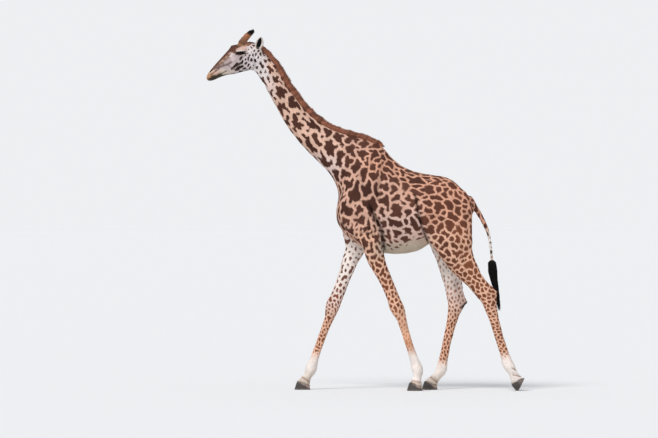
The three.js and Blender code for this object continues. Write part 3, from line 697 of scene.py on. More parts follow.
# Streaks of colour on the head, the heel and the pasterns, by node; those on the pasterns lie in the furrows
# of their folds as painted shade. Each: a line and its half width, in millimetres, tone and strength.
STREAKS = {
    "head": [
        ([(-1630, 3398), (-1560, 3462), (-1480, 3545)], 30, "ginger", 0.7),
        ([(-1590, 3418), (-1520, 3486), (-1450, 3562)], 22, "bark", 0.45),
        *flecks((-1612, 3388), (-1440, 3568), 34, 70),
        ([(-1400, 3655), (-1470, 3590), (-1560, 3482), (-1630, 3412)], 18, "cocoa", 0.9),
        ([(-1588, 3420), (-1533, 3430), (-1458, 3455), (-1424, 3478)], 12, "mauve", 0.8),
        ([(-1458, 3453), (-1424, 3420)], 5, "mauve", 0.7),
        ([(-1600, 3405), (-1520, 3446), (-1440, 3505)], 20, "mauve", 0.35),
        ([(-1345, 3668), (-1270, 3662)], 18, "ginger", 0.6),
        # painted shade under the lid, below the front of the eye
        ([(-1400, 3545), (-1360, 3530)], 12, "ash", 0.35),
        ([(-1362, 3596), (-1315, 3602), (-1265, 3592)], 7, "milk", 0.7),
        ([(-1390, 3428), (-1350, 3449), (-1316, 3469)], 12, "coal", 0.9),
        ([(-1228, 3552), (-1234, 3526)], 8, "coal", 0.8),
        ([(-1420, 3400), (-1385, 3412)], 8, "coal", 0.6),
        ([(-1505, 3366), (-1395, 3382)], 9, "cream", 0.9),
        ([(-1560, 3302), (-1490, 3340), (-1416, 3346), (-1332, 3363), (-1240, 3388)], 10, "moss", 0.8),
        ([(-1655, 3290), (-1590, 3308), (-1545, 3332)], 14, "moss", 0.85),
        ([(-1638, 3348), (-1604, 3368), (-1574, 3392)], 6, "bark", 0.8),
        ([(-1648, 3360), (-1600, 3394)], 5, "cream", 0.9),
    ],
    "hindleg_right": [
        ([(1085, 925), (1035, 880)], 17, "coal", 0.9),
        # painted shade in the furrow of the pastern's fold
        ([(700, 130), (765, 80)], 8, "nut", 0.8),
    ],
    "hindleg_left": [
        # painted shade in the furrows of the pasterns' folds
        ([(1555, 238), (1605, 215)], 6, "nut", 0.8),
        ([(1560, 170), (1640, 150)], 6, "nut", 0.8),
    ],
    "foreleg_right": [
        # painted shade in the furrow of the pastern's fold
        ([(-685, 142), (-585, 78)], 8, "nut", 0.8),
    ],
    "foreleg_left": [
        # painted shade in the furrow of the pastern's fold
        ([(480, 108), (575, 88)], 15, "nut", 0.5),
    ],
}
INNER_SIDE = (1.75, 1.50)  # heights between which the inner side of the leg begins
BELLY = {"middle": 0.4, "half": 0.28, "top": (1.9, 1.6), "gap": 0.06}  # it is paler, with smaller patches
LOBES = 0.42  # spacing of the lobes that make up a large patch, as a share of the patches' spacing
FAR = 0.5  # stands for any distance that no longer matters
SMALLEST = 0.42  # area of the smallest patch, as a share of its spacing squared
PACKING = 0.86  # least distance between patches, as a share of their mean spacing
NEIGHBOURS = 22  # how many lobes are looked at around each vertex
STRAY = 0.06  # how far a lobe strays when it chooses its patch, as a share of the spacing
UNEVEN = 0.09  # how much the patches differ in how dark they are
INKS = 6  # neighbouring patches never share an ink, so that the line between two stays sharp


# ---- Markings: patches ----
def as_numbers(rows):
    """Rows as numbers: the place, spacing, gap, stretch, the slant as two numbers, both tones."""
    made = []
    for *sizes, stretch, slant, pale, dark in rows:
        turn = 2 * math.radians(slant)
        made.append([*(size / MM for size in sizes), stretch, math.cos(turn), math.sin(turn),
                     *TONES[pale], *TONES[dark]])
    return np.array(made)


SPACING, GAP, STRETCH, PALE, DARK, TONED = 0, 1, 2, slice(5, 8), slice(8, 11), slice(5, 11)


def by_place(rows, points):
    """Each point takes after the rows that lie near it in the side view."""
    table = as_numbers(rows)
    apart = (points[:, None, (0, 2)] - table[None, :, :2]) ** 2
    weight = 1 / (apart.sum(2) + 0.02 ** 2) ** 2.5
    return weight @ table[:, 2:] / weight.sum(1)[:, None]


def by_height(rows, points):
    table = as_numbers(rows)[::-1]
    return np.stack([np.interp(points[:, 2], table[:, 0], column) for column in table[:, 1:].T], 1)


def paint_over(fields, tones, share):
    """Takes the pale and the dark tone towards the given tones, by each vertex's share."""
    fields[:, TONED] += (np.tile(tones, 2) - fields[:, TONED]) * share[:, None]


def coat_fields(mesh):
    """How the coat is marked at each vertex: columns as in as_numbers, without the place."""
    points, facing = places(mesh), normals(mesh)
    owner = which_node(points)
    head = owned(owner, "head")
    fields = by_place(BODY_COAT, points)
    fields[head] = by_place(HEAD_COAT, points[head])
    for names, rows in ((["tail"], TAIL_COAT), (EARS, EAR_COAT),
                        (LEGS[:2], FORELEG_COAT), (LEGS[2:], HINDLEG_COAT)):
        here = owned(owner, *names)
        fields[here] = by_height(rows, points[here])
    # the inner sides of the legs, in front of the belly and behind it
    x, _, z = points.T
    low = ramp(z, *INNER_SIDE) * np.where(np.abs(x - BELLY["middle"]) < BELLY["half"], 0, 1)
    inner = (ramp(-facing[:, 1] * np.sign(points[:, 1]), 0.05, 0.55) * low)[:, None]
    hind = (x > 0.5)[:, None]
    pale = np.where(hind, by_height(INNER_HIND_COAT, points), by_height(INNER_COAT, points))
    fields = fields * (1 - inner) + pale * inner
    under = ramp(-facing[:, 2], 0.72, 0.95) * ramp(z, *BELLY["top"]) * owned(owner, "trunk")
    fields[:, GAP] += BELLY["gap"] * under
    fields[:, PALE] += (TONES["stone"] - fields[:, PALE]) * under[:, None]
    fields = spread(edges_of(mesh), fields, 6)
    up_horn = in_horn(points)
    for node, rows in STREAKS.items():
        here = owned(owner, node) & (up_horn < -0.2)
        for line, wide, word, strength in rows:
            share = ramp(line_distance(points, line), 1.5 * wide / MM, 0.5 * wide / MM)
            paint_over(fields, TONES[word], strength * share * here)
    # painted shade: both tones darken in the deep folds of the trunk
    fields[:, TONED] *= 1 - 0.8 * crease_shade(points, facing)[:, None]
    for word, side in SIDES.items():
        horn = ramp(up_horn, -0.22, -0.10) * (np.sign(points[:, 1]) == side)
        paint_over(fields, horn_tones(points, side), horn)
        black = [ear_hollow(points, facing, side) * owned(owner, f"ear_{word}"),
                 eye_rim(points, word), lip_lines(points, facing) * head]
        paint_over(fields, TONES["pitch"], np.maximum.reduce(black))
    return fields


def crease_shade(points, facing):
    """How deep in a fold of the trunk each point lies, 0 to 1: the coat is painted darker there as shade."""
    deepest = np.zeros(len(points))
    for line, wide, deep in CREASES:
        deepest = np.maximum(deepest, bell(points, line, wide) * min(deep / 20, 1))
    return deepest * ramp(np.abs(facing[:, 1]), 0.05, 0.4) * ramp(points[:, 2], 1.42, 1.50)


def ear_hollow(points, facing, side):
    """1 in the dark hollow of the ear, 0 outside it."""
    foot = on_side(EAR_FOOT, side)
    along = share_along(points, foot, on_side(EAR_TIP - EAR_FOOT, side))
    half = 0.024 * np.clip(np.sin(math.pi * np.clip(1.12 * along - 0.04, 0, 1)), 0, 1) ** 0.6
    across = (points - foot) @ on_side(EAR_OPENS.cross(EAR_TIP - EAR_FOOT).normalized(), side)
    within = ramp(np.abs(across + 0.004) - half, 0.005, -0.004)
    return ramp(facing @ on_side(EAR_OPENS, side), -0.1, 0.35) * within


def eye_rim(points, word):
    """1 on the black skin round the eye, which is drawn out at both corners; this black is partly painted
    shade of the lids and lashes.
    """
    edge, far = lid_edge(points, word)
    x, _, z = (points - np.array(EYE[word])).T
    corner = ramp(np.abs(x), 0.010, 0.034) * ramp(np.abs(z - 0.10 * x), 0.022, 0.012)
    return ramp(edge, 0.0128 + 0.026 * corner, 0.0090 + 0.022 * corner) * (far < LID_REACH)


def lip_lines(points, facing):
    """How black the nostrils and the line of the mouth are at each point."""
    aside = ramp(np.abs(facing[:, 1]), 0.20, 0.45)
    taper = ramp(np.abs(points[:, 0] + 1.634), 0.020, 0.004)
    nostril = ramp(line_distance(points, NOSTRIL) - 0.005 * taper, 0.0030, 0.0004) * aside
    return np.maximum(nostril, 0.7 * ramp(line_distance(points, MOUTH), 0.006, 0.001))


def horn_tones(points, side):
    """Dark brown at the horn's foot, tan above it and black at the tip."""
    up, _ = horn_up(points, side)
    foot = ramp(up + 0.05 * wobble(points, 0.03, 6), 0.68, 0.36)[:, None]
    black = ramp(up + 0.03 * wobble(points, 0.02, 5), 0.72, 0.80)[:, None]
    tones = TONES["horn"] * (1 - foot) + TONES["nut"] * foot
    return tones * (1 - black) + TONES["jet"] * black


def scattered(points, spacing, stretch, way, dice, tries=45000):
    """Picks points that keep their spacing, which is longer along their own way by their stretch."""
    spacing = spacing * PACKING
    spots = np.empty((len(points), 3))
    kept = []
    for index in dice.permutation(len(points))[:tries]:
        apart = spots[:len(kept)] - points[index]
        along = apart @ way[index]
        squash = 1 - 1 / stretch[index] ** 2
        far = np.einsum("ij,ij->i", apart, apart) - squash * along * along
        if not kept or far.min() >= spacing[index] ** 2:
            spots[len(kept)] = points[index]
            kept.append(index)
    return np.array(kept)


def length_along(apart, way, stretch):
    """Length of a step, where a step along `way` counts for less."""
    along = (apart * way).sum(-1)
    return np.sqrt(np.maximum((apart * apart).sum(-1) - (1 - 1 / stretch ** 2) * along * along, 1e-12))


def inked(pairs, count):
    """Gives each patch one of the inks, none the same as a neighbour's."""
    beside = [set() for _ in range(count)]
    for one, other in pairs:
        beside[one].add(other)
        beside[other].add(one)
    ink = np.full(count, -1)
    used = np.zeros(INKS)
    for patch in sorted(range(count), key=lambda p: -len(beside[p])):
        taken = np.bincount([ink[other] for other in beside[patch] if ink[other] >= 0], minlength=INKS)
        ink[patch] = np.lexsort((used, taken))[0]
        used[ink[patch]] += 1
    return ink


def nearest_few(seeds, points, number):
    """For each point, the numbers of the seeds nearest to it."""
    tree = KDTree(len(seeds))
    for index, seed in enumerate(seeds):
        tree.insert(seed, index)
    tree.balance()
    return np.array([[hit[1] for hit in tree.find_n(point, number)] for point in points])


def vertex_areas(mesh):
    """The skin's area around each vertex."""
    mesh.calc_loop_triangles()
    corners = read(mesh.loop_triangles, "vertices", 3, np.int32)
    area = read(mesh.loop_triangles, "area", 1)
    return np.bincount(corners.ravel(), np.repeat(area / 3, 3), minlength=len(mesh.vertices))


def mark_skin(mesh):
    """At each vertex: the distance to the nearest patch of each ink, the pale gap and the tones."""
    points = places(mesh)
    fields = coat_fields(mesh)
    spacing, gap, stretch = fields[:, SPACING], fields[:, GAP], fields[:, STRETCH]
    slant = np.arctan2(fields[:, 4], fields[:, 3]) / 2
    way = along_skin(slanted(slant), normals(mesh), 0.2)

    dice = np.random.default_rng(5)
    patch = scattered(points, spacing, stretch, way, dice)
    clean = ramp(points[:, 0], 0.45, 0.75)  # the haunch's patches are plainer than the shoulder's
    lobe_spacing = spacing * (1 - (1 - LOBES) * ramp(spacing, 0.03, 0.09) * (1 - 0.35 * clean))
    lobe = scattered(points, lobe_spacing, stretch, way, dice)
    shifted = points[lobe] + spacing[lobe, None] * STRAY * dice.normal(size=(len(lobe), 3))
    apart = length_along(shifted[:, None] - points[None, patch], way[None, patch], stretch[None, patch])
    family = (apart / spacing[None, patch]).argmin(1)

    row = np.arange(len(points))
    share = vertex_areas(mesh)
    for last in (False, True):
        near = nearest_few(points[lobe], points, NEIGHBOURS)
        length = length_along(points[:, None] - points[lobe][near], way[lobe][near], stretch[lobe][near])
        own = family[near[row, length.argmin(1)]]
        if not last:  # too small a patch gives way to its neighbours
            area = np.bincount(own, share, minlength=len(patch))
            large = area > SMALLEST * spacing[patch] ** 2
            kept = large[family]
            lobe, family = lobe[kept], family[kept]
    other = np.where(family[near] == own[:, None], FAR, length)
    rival = family[near[row, other.argmin(1)]]
    meet = other.min(1) - length.min(1) < gap + 0.02
    ink = inked(np.unique(np.stack([own[meet], rival[meet]], 1), axis=0), len(patch))
    inks = np.stack([np.where(ink[family][near] == which, length, FAR).min(1) for which in range(INKS)], 1)
    temper = np.random.default_rng(7).normal(1, UNEVEN, len(patch))[own]
    return {"inks_a": inks[:, :3], "inks_b": inks[:, 3:], "gap": gap, "pale": fields[:, PALE],
            "dark": np.clip(fields[:, DARK] * temper[:, None], 0, 1)}


def plain_marks(tones):
    """Marks without patches or gaps, in the given tones."""
    count = len(tones)
    return {"dark": tones, "pale": tones, "gap": np.full(count, 0.01),
            "inks_a": np.tile((0.0, FAR, FAR), (count, 1)), "inks_b": np.full((count, 3), FAR)}


def paint_vertices(mesh, values):
    """Stores each named value, a number or a colour, at the vertices."""
    for name, value in values.items():
        if value.ndim == 1:
            layer = mesh.attributes.new(name, "FLOAT", "POINT")
            layer.data.foreach_set("value", value.astype(np.float32))
        else:
            layer = mesh.attributes.new(name, "FLOAT_COLOR", "POINT")
            full = np.ones((len(value), 4), np.float32)
            full[:, :3] = value
            layer.data.foreach_set("color", full.ravel())


# ---- Materials ----
class Recipe:
    """The nodes of a material or a world: each call adds one and links what feeds it."""

    def __init__(self, holder):
        holder.use_nodes = True
        self.holder = holder
        self.tree = holder.node_tree

    def node(self, kind, settings, *ordered, **named):
        made = self.tree.nodes.new(kind)
        for word, value in settings.items():
            setattr(made, word, value)
        self.feed(zip(made.inputs, ordered))
        self.feed((made.inputs[word], feed) for word, feed in named.items())
        return made

    def feed(self, pairs):
        for socket, feed in pairs:
            if isinstance(feed, bpy.types.NodeSocket):
                self.tree.links.new(feed, socket)
            else:
                socket.default_value = feed

    def math(self, operation, first, second=0.0):
        return self.node("ShaderNodeMath", {"operation": operation}, first, second).outputs[0]

    def attribute(self, name, output="Fac"):
        return self.node("ShaderNodeAttribute", {"attribute_name": name}).outputs[output]

    def place(self):
        return self.node("ShaderNodeTexCoord", {}).outputs["Object"]

    def parts(self, vector):
        return self.node("ShaderNodeSeparateXYZ", {}, vector).outputs

    def noise(self, scale, detail=2.0, rough=0.5, where=None):
        return self.node("ShaderNodeTexNoise", {}, Vector=where or self.place(), Scale=scale, Detail=detail,
                         Roughness=rough).outputs["Fac"]

    def ramp(self, value, low, high, start=0.0, end=1.0):
        smooth = {"interpolation_type": "SMOOTHSTEP"}
        return self.node("ShaderNodeMapRange", smooth, value, low, high, start, end).outputs[0]

    def uneven(self, scale, start, end, detail=2.0):
        """A value that wanders between start and end."""
        return self.ramp(self.noise(scale, detail), 0.3, 0.7, start, end)

    def mix(self, share, first, second, blend="MIX"):
        made = self.node("ShaderNodeMix", {"data_type": "RGBA", "blend_type": blend}, share)
        self.feed([(made.inputs[6], first), (made.inputs[7], second)])
        return made.outputs[2]

    def bump(self, height, distance, strength):
        return self.node("ShaderNodeBump", {}, Height=height, Distance=distance, Strength=strength).outputs[0]

    def finish(self, colour, roughness, **others):
        """The material: how its surface is, by the names that the shader gives its inputs."""
        inputs = self.tree.nodes["Principled BSDF"].inputs
        others = {"Base_Color": colour, "Roughness": roughness, **others}
        self.feed((inputs[word.replace("_", " ")], feed) for word, feed in others.items())
        return self.holder


def recipe_for(name):
    return Recipe(bpy.data.materials.new(name))


def patch_depth(recipe):
    """Depth inside a dark patch: from the distances to the nearest two patches."""
    near, far = [], []
    for name in ("inks_a", "inks_b"):
        one, two, three = recipe.parts(recipe.attribute(name, "Vector"))
        low = recipe.math("MINIMUM", one, two)
        high = recipe.math("MAXIMUM", one, two)
        near.append(recipe.math("MINIMUM", low, three))
        far.append(recipe.math("MINIMUM", high, recipe.math("MAXIMUM", low, three)))
    first = recipe.math("MINIMUM", *near)
    second = recipe.math("MINIMUM", recipe.math("MAXIMUM", *near), recipe.math("MINIMUM", *far))
    return recipe.math("MULTIPLY", recipe.math("SUBTRACT", second, first), 0.5)


def coat_colour(recipe):
    """The markings: ragged dark patches on a pale ground, each a little uneven in tone."""
    gap = recipe.attribute("gap")
    coarse, fine = (recipe.math("MULTIPLY", recipe.math("SUBTRACT", recipe.noise(scale, detail), 0.5), share)
                    for scale, detail, share in ((34, 1.5, 0.75), (150, 2.0, 0.25)))
    ragged = recipe.math("ADD", recipe.math("MINIMUM", gap, 0.024), 0.004)
    rough = recipe.math("MULTIPLY", recipe.math("ADD", coarse, fine), ragged)
    edge = recipe.math("SUBTRACT", rough, recipe.math("MULTIPLY", gap, 0.5))
    depth = recipe.math("ADD", patch_depth(recipe), edge)
    inside = recipe.ramp(depth, -0.0012, 0.0016)
    heart = recipe.ramp(depth, 0.0, 0.022, 1.12, 0.9)
    cloud = recipe.uneven(9, 0.9, 1.08, 3.0)
    hairs = recipe.uneven(420, 0.9, 1.08)
    shade = recipe.math("MULTIPLY", heart, cloud)
    dark = recipe.mix(1.0, recipe.attribute("dark", "Color"), shade, "MULTIPLY")
    pale = recipe.mix(1.0, recipe.attribute("pale", "Color"), cloud, "MULTIPLY")
    return recipe.mix(1.0, recipe.mix(inside, pale, dark), hairs, "MULTIPLY")


def hide_material():
    recipe = recipe_for("hide")
    grain = recipe.bump(recipe.noise(260, 3.0, 0.6), 0.0025, 0.5)
    return recipe.finish(coat_colour(recipe), recipe.uneven(120, 0.7, 0.88),
                         Specular_IOR_Level=0.15, Normal=grain)


HIDE = hide_material()
skin_mesh = skin_shape()
shape_skin(skin_mesh)
marks = mark_skin(skin_mesh)
paint_vertices(skin_mesh, marks)
skin = piece_of("skin", skin_mesh, HIDE, "hide", *FLESH)


# ---- Hair: where it grows and which way it lies ----
# Short coat, node by node: space between tufts, their length, width and lift at the tip.
COAT = {
    "head": (0.0042, 0.0078, 0.0023, 0.0008), "ear": (0.0045, 0.0125, 0.0024, 0.0022),
    "neck": (0.0072, 0.0155, 0.0045, 0.0013), "trunk": (0.0077, 0.0165, 0.0049, 0.0014),
    "tail": (0.0060, 0.0140, 0.0034, 0.0018), "leg": (0.0060, 0.0110, 0.0034, 0.0009),
}
COAT_PIECES = [  # name, nodes, side (0 for both)
    ("coat_head", ["head", *EARS], 0), ("coat_neck", ["neck"], 0),
    ("coat_trunk_left", ["trunk"], -1), ("coat_trunk_right", ["trunk"], 1),
    ("coat_legs_left", LEGS, -1), ("coat_legs_right", LEGS, 1), ("coat_tail", ["tail"], 0),
]
TRUNK_LIE = [(-0.35, -70), (-0.05, -62), (0.30, -40), (0.65, -38), (0.90, -58), (1.10, -84)]  # x, slant
LIE = {"head": 37, "neck": -54, "tail": -75, "leg": -84}  # slant in the side view, degrees up from +X
BARE = [(NOSTRIL, 0.006), (MOUTH, 0.003)]  # no hair nearer to these lines than this
UV_PATCH = 0.003  # size of a tuft's patch on the unwrapped skin
THROWS = 4  # how many roots are tried for each that there is space for
ROOT_CELL = 1.06  # one root to each cell of this size, as a share of the space between tufts
PRIME = 100003  # makes one number of a cell's three
LID_BARE = (0.002, 0.020)  # distances from the opening of the lids over which the coat grows to its length
FRINGE_REACH = (0.030, 0.008)  # distances from the hooves over which the coat turns into their fringe
FRINGE = (1.2, 0.3, 0.6)  # how much longer, wider and more lifted the tufts are there
GROUND_GAP = 0.03  # no coat grows lower than this
HORN_OVERLAP = 0.09  # how far up the horn, past its cut, the head's coat goes on


def kind_of(node):
    return "leg" if node in LEGS else "ear" if node in EARS else node


def lie_of_coat(mesh, owner):
    """The way that the hair lies at each vertex, along the skin."""
    points, facing = places(mesh), normals(mesh)
    slant = np.interp(points[:, 0], *zip(*TRUNK_LIE))
    for name in FLESH:
        if kind_of(name) in LIE:
            slant[owned(owner, name)] = LIE[kind_of(name)]
    way = slanted(np.radians(slant))
    for word, side in SIDES.items():
        way[owned(owner, f"ear_{word}")] = Vector((0.35, side * 0.62, 0.95)).normalized()
    for _ in range(2):
        way = along_skin(spread(edges_of(mesh), way, 12), facing, 0.05)
    return way


def unwrap(thing):
    """Unwraps a skin by its own shape, for its coat to share."""
    bpy.ops.object.select_all(action="DESELECT")
    thing.select_set(True)
    bpy.context.view_layer.objects.active = thing
    thing.data.uv_layers.new(name="OFBake")
    bpy.ops.object.mode_set(mode="EDIT")
    bpy.ops.mesh.select_all(action="SELECT")
    bpy.ops.uv.smart_project(angle_limit=1.15, island_margin=0.002)
    bpy.ops.object.mode_set(mode="OBJECT")


class Ground:
    """An unwrapped skin on which hair is rooted, with everything that the hair takes from it."""

    def __init__(self, thing, carried):
        mesh = thing.data
        mesh.calc_loop_triangles()
        self.corners = read(mesh.loop_triangles, "vertices", 3, np.int32)
        loops = read(mesh.loop_triangles, "loops", 3, np.int32)
        self.sheet = read(mesh.uv_layers["OFBake"].data, "uv", 2).astype(float)[loops]
        self.carried = {"place": places(mesh), "up": normals(mesh), **carried}
        one, two, three = self.carried["place"][self.corners].transpose(1, 0, 2)
        self.area = np.linalg.norm(np.cross(two - one, three - one), axis=1) / 2
        self.middle = (one + two + three) / 3

    def nearest(self, points):
        """What the skin is like at its vertices nearest to the points."""
        near = nearest_few(self.carried["place"], points, 1)[:, 0]
        sheet = np.zeros((len(self.carried["place"]), 2))
        sheet[self.corners.ravel()] = self.sheet.reshape(-1, 2)
        return {"sheet": sheet[near], **{name: value[near] for name, value in self.carried.items()}}

    def rooted(self, allowed, space, dice):
        """Roots spread evenly over the allowed triangles, and what the skin is like there."""
        area = self.area * allowed
        pick = dice.choice(len(area), int(THROWS * area.sum() / space ** 2), p=area / area.sum())
        share = dice.dirichlet((1, 1, 1), len(pick))
        spot = np.einsum("ij,ijk->ik", share, self.carried["place"][self.corners[pick]])
        cell = np.floor(spot / (space * ROOT_CELL)).astype(np.int64)
        key = (cell[:, 0] * PRIME + cell[:, 1]) * PRIME + cell[:, 2]
        one = np.sort(np.unique(key, return_index=True)[1])
        pick, share = pick[one], share[one]
        found = {name: np.einsum("ij,ij...->i...", share, value[self.corners[pick]])
                 for name, value in self.carried.items()}
        found["sheet"] = np.einsum("ij,ijk->ik", share, self.sheet[pick])
        found["up"] /= np.linalg.norm(found["up"], axis=1)[:, None]
        return found


def hair_mesh(name, points, faces, shading, patches, values):
    """A mesh of many locks. Every array but faces has one row for each lock, then its vertices."""
    count, each = points.shape[:2]
    mesh = bpy.data.meshes.new(name)
    rows = (faces[None] + np.arange(count)[:, None, None] * each).reshape(-1, 3)
    mesh.vertices.add(count * each)
    mesh.vertices.foreach_set("co", points.astype(np.float32).ravel())
    mesh.loops.add(rows.size)
    mesh.loops.foreach_set("vertex_index", rows.astype(np.int32).ravel())
    mesh.polygons.add(len(rows))
    mesh.polygons.foreach_set("loop_start", np.arange(0, rows.size, 3, dtype=np.int32))
    mesh.polygons.foreach_set("use_smooth", np.ones(len(rows), bool))
    mesh.update(calc_edges=True)
    sheet = mesh.uv_layers.new(name="OFBake")
    sheet.data.foreach_set("uv", patches.reshape(-1, 2)[rows.ravel()].astype(np.float32).ravel())
    paint_vertices(mesh, {word: value.reshape(-1, *value.shape[2:]) for word, value in values.items()})
    if shading is not None:
        mesh.normals_split_custom_set_from_vertices(unit(shading).reshape(-1, 3))
    return mesh


TUFT_FACES = np.array([(0, 3, 2), (2, 3, 1), (1, 3, 0), (0, 2, 1)])  # left, right, ridge, tip
TUFT_SHEET = np.array([(-0.5, -0.5), (0.5, -0.5), (0.0, 0.1), (0.0, 0.5)]) * UV_PATCH
TUFT_SHADE = np.array([0.97, 0.97, 1.0, 1.04])  # how light its four vertices are
TUFT_SUNK = 0.0008  # how deep its foot lies in the skin
TUFT_RIDGE = 0.3  # where its ridge begins, as a share of its length
TUFT_TURN, TUFT_SWIRL = 0.17, 0.22  # how far it turns by itself, and together with its neighbours
TUFT_UNEVEN = {"length": (0.8, 1.25), "half": (0.4, 0.6), "lift": (0.5, 1.4), "shade": 0.07}


def tufts(name, root, length, width, lift, dice):
    """Short pointed tufts, one at each root, that lie along the skin."""
    count = len(length)
    up, place = root["up"], root["place"]
    turn = (dice.normal(0, TUFT_TURN, count) + TUFT_SWIRL * wobble(place, 0.12, 11))[:, None]
    way = along_skin(root["lie"], up)
    across = np.cross(up, way)
    way, across = (way * np.cos(turn) + across * np.sin(turn),
                   across * np.cos(turn) - way * np.sin(turn))
    length = (length * dice.uniform(*TUFT_UNEVEN["length"], count))[:, None]
    half = (width * dice.uniform(*TUFT_UNEVEN["half"], count))[:, None]
    lift = (lift * dice.uniform(*TUFT_UNEVEN["lift"], count))[:, None]
    points = np.stack([
        place - across * half - up * TUFT_SUNK, place + across * half - up * TUFT_SUNK,
        place + way * length * TUFT_RIDGE + up * (0.0005 + lift * 0.4),
        place + way * length + up * lift], 1)
    shading = np.stack([up - across * 0.5, up + across * 0.5, up - way * 0.1, up + way * 0.35], 1)
    shade = dice.normal(1, TUFT_UNEVEN["shade"], count)[:, None] * TUFT_SHADE
    values = {word: np.repeat(root[word][:, None], 4, 1) for word in ("inks_a", "inks_b", "gap")}
    for word in ("pale", "dark"):
        values[word] = np.clip(root[word][:, None] * shade[:, :, None], 0, 1)
    return hair_mesh(name, points, TUFT_FACES, shading, root["sheet"][:, None] + TUFT_SHEET, values)


def coat_material():
    recipe = recipe_for("coat_hair")
    return recipe.finish(coat_colour(recipe), recipe.uneven(300, 0.6, 0.8),
                         Specular_IOR_Level=0.15, Sheen_Weight=0.04)


COAT_HAIR = coat_material()


def bare_share(points):
    """Shortens the coat towards the openings of the eyes, the nostrils and the mouth; 0 on them."""
    share = np.ones(len(points))
    for word in SIDES:
        edge, far = lid_edge(points, word)
        share *= np.where(far < 0.08, ramp(edge, *LID_BARE), 1)
    for line, wide in BARE:
        share *= ramp(line_distance(points, line), wide, wide * 2.5)
    return share


def fringe(points):
    """How near the hooves each point is, from 1 on them to 0 where their fringe ends."""
    names = [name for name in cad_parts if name.startswith("hoof_")]
    hooves = BVHTree.FromBMesh(merged_copy(names, 0.0))
    share = np.zeros(len(points))
    for index in np.flatnonzero(points[:, 2] < 0.25):
        share[index] = ramp(hooves.find_nearest(points[index])[3], *FRINGE_REACH)
    return share


def grow_coat(ground, owner):
    """The short coat, piece by piece; the owner is each triangle's node."""
    dice = np.random.default_rng(21)
    for name, nodes, side in COAT_PIECES:
        roots, sizes = [], []
        for kind in dict.fromkeys(kind_of(node) for node in nodes):
            allowed = owned(owner, *(node for node in nodes if kind_of(node) == kind))
            if side:
                allowed &= np.sign(ground.middle[:, 1]) == side
            space, *size = COAT[kind]
            root = ground.rooted(allowed, space, dice)
            spot = root["place"]
            short = bare_share(spot) if kind == "head" else np.ones(len(spot))
            size = np.tile(size, (len(spot), 1))
            size[:, 0] *= 0.45 + 0.55 * short
            size[:, 1:] *= 0.6 + 0.4 * short[:, None]
            if kind == "leg":
                size *= 1 + fringe(spot)[:, None] * FRINGE
            keep = (spot[:, 2] > GROUND_GAP) & (short > 0.02) & (in_horn(spot) < HORN_OVERLAP)
            roots.append({word: value[keep] for word, value in root.items()})
            sizes.append(size[keep])
        root = {word: np.concatenate([one[word] for one in roots]) for word in roots[0]}
        length, width, lift = np.concatenate(sizes).T
        piece_of(name, tufts(name, root, length, width, lift, dice), COAT_HAIR, "hide")


# ---- Long hair ----
def locks(name, spine, thick, sheet, tones, reference, slot, *replaced):
    """Pointed three-sided locks along their spines; the last point of each is its tip."""
    count, knots = spine.shape[:2]
    along = unit(np.gradient(spine, axis=1))
    side = unit(np.cross(along, reference))
    other = np.cross(side, along)
    turn = np.radians((90, 210, 330))
    spoke = (np.cos(turn)[:, None] * side[:, :-1, None] + np.sin(turn)[:, None] * other[:, :-1, None])
    rings = spine[:, :-1, None] + spoke * thick[:, :, None, None]
    points = np.concatenate([rings.reshape(count, -1, 3), spine[:, -1:]], 1)
    faces = [(0, 2, 1)]
    for ring in range(knots - 2):
        for corner in range(3):
            low, next_low = 3 * ring + corner, 3 * ring + (corner + 1) % 3
            faces += [(low, next_low, low + 3), (next_low, next_low + 3, low + 3)]
    last, tip = 3 * (knots - 2), 3 * (knots - 1)
    faces += [(last + corner, last + (corner + 1) % 3, tip) for corner in range(3)]
    share = np.append(np.repeat(np.linspace(0, 1, knots)[:-1], 3), 1.0)
    around = np.append(np.tile((-0.5, 0.0, 0.5), knots - 1), 0.0)
    patches = sheet[:, None] + np.stack([around, share - 0.5], 1) * UV_PATCH
    values = {word: np.repeat(value[:, None], len(share), 1) for word, value in plain_marks(tones).items()}
    # painted shade: each lock is darker at its root, down in the brush, and lighter towards its tip
    values["dark"] = values["dark"] * (0.75 + 0.45 * share)[:, None]
    mesh = hair_mesh(name, points, np.array(faces), None, patches, values)
    piece_of(name, mesh, COAT_HAIR, slot, *replaced)


def toned(word, count, dice, uneven):
    return TONES[word] * np.clip(dice.normal(1, uneven, count), 0.6, 1.5)[:, None]


MANE_START = [  # the mane's outline right behind the ears
    (-1.090, 0.0, 3.670), (-1.068, 0.0, 3.656), (-1.040, 0.0, 3.630), (-1.012, 0.0, 3.602)]
MANE = {"locks": 18500, "half": 0.018, "thick": 0.0015, "sunk": 0.010, "lean": 0.020, "tall": (0.012, 0.075)}


def mane_lines():
    """Along the mane: its outline, the skin under it, the way up and the way along."""
    low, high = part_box("mane")
    solid, hide = (BVHTree.FromObject(thing, bpy.context.evaluated_depsgraph_get())
                   for thing in (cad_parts["mane"], skin))
    hits = [solid.ray_cast(Vector((x, 0, high.z + 1)), Vector((0, 0, -1)))[0]
            for x in np.linspace(low.x + 0.004, high.x - 0.004, 160)]
    first = MANE_START[-1][0] + 0.015
    tops = np.array([*MANE_START, *(hit for hit in hits if hit and hit.x > first)])
    tops[1:-1] = (tops[:-2] + tops[1:-1] * 2 + tops[2:]) / 4
    along = unit(np.gradient(tops, axis=0))
    out = np.stack([-along[:, 2], 0 * along[:, 0], along[:, 0]], 1)
    out *= np.sign(out[:, 2])[:, None]
    roots = []
    for top, way in zip(tops, out):
        hit = hide.ray_cast(Vector(top + way * 0.02), Vector(-way))[0]
        roots.append(np.array(hit) if hit else top - way * 0.05)
    return tops, np.array(roots), out, along


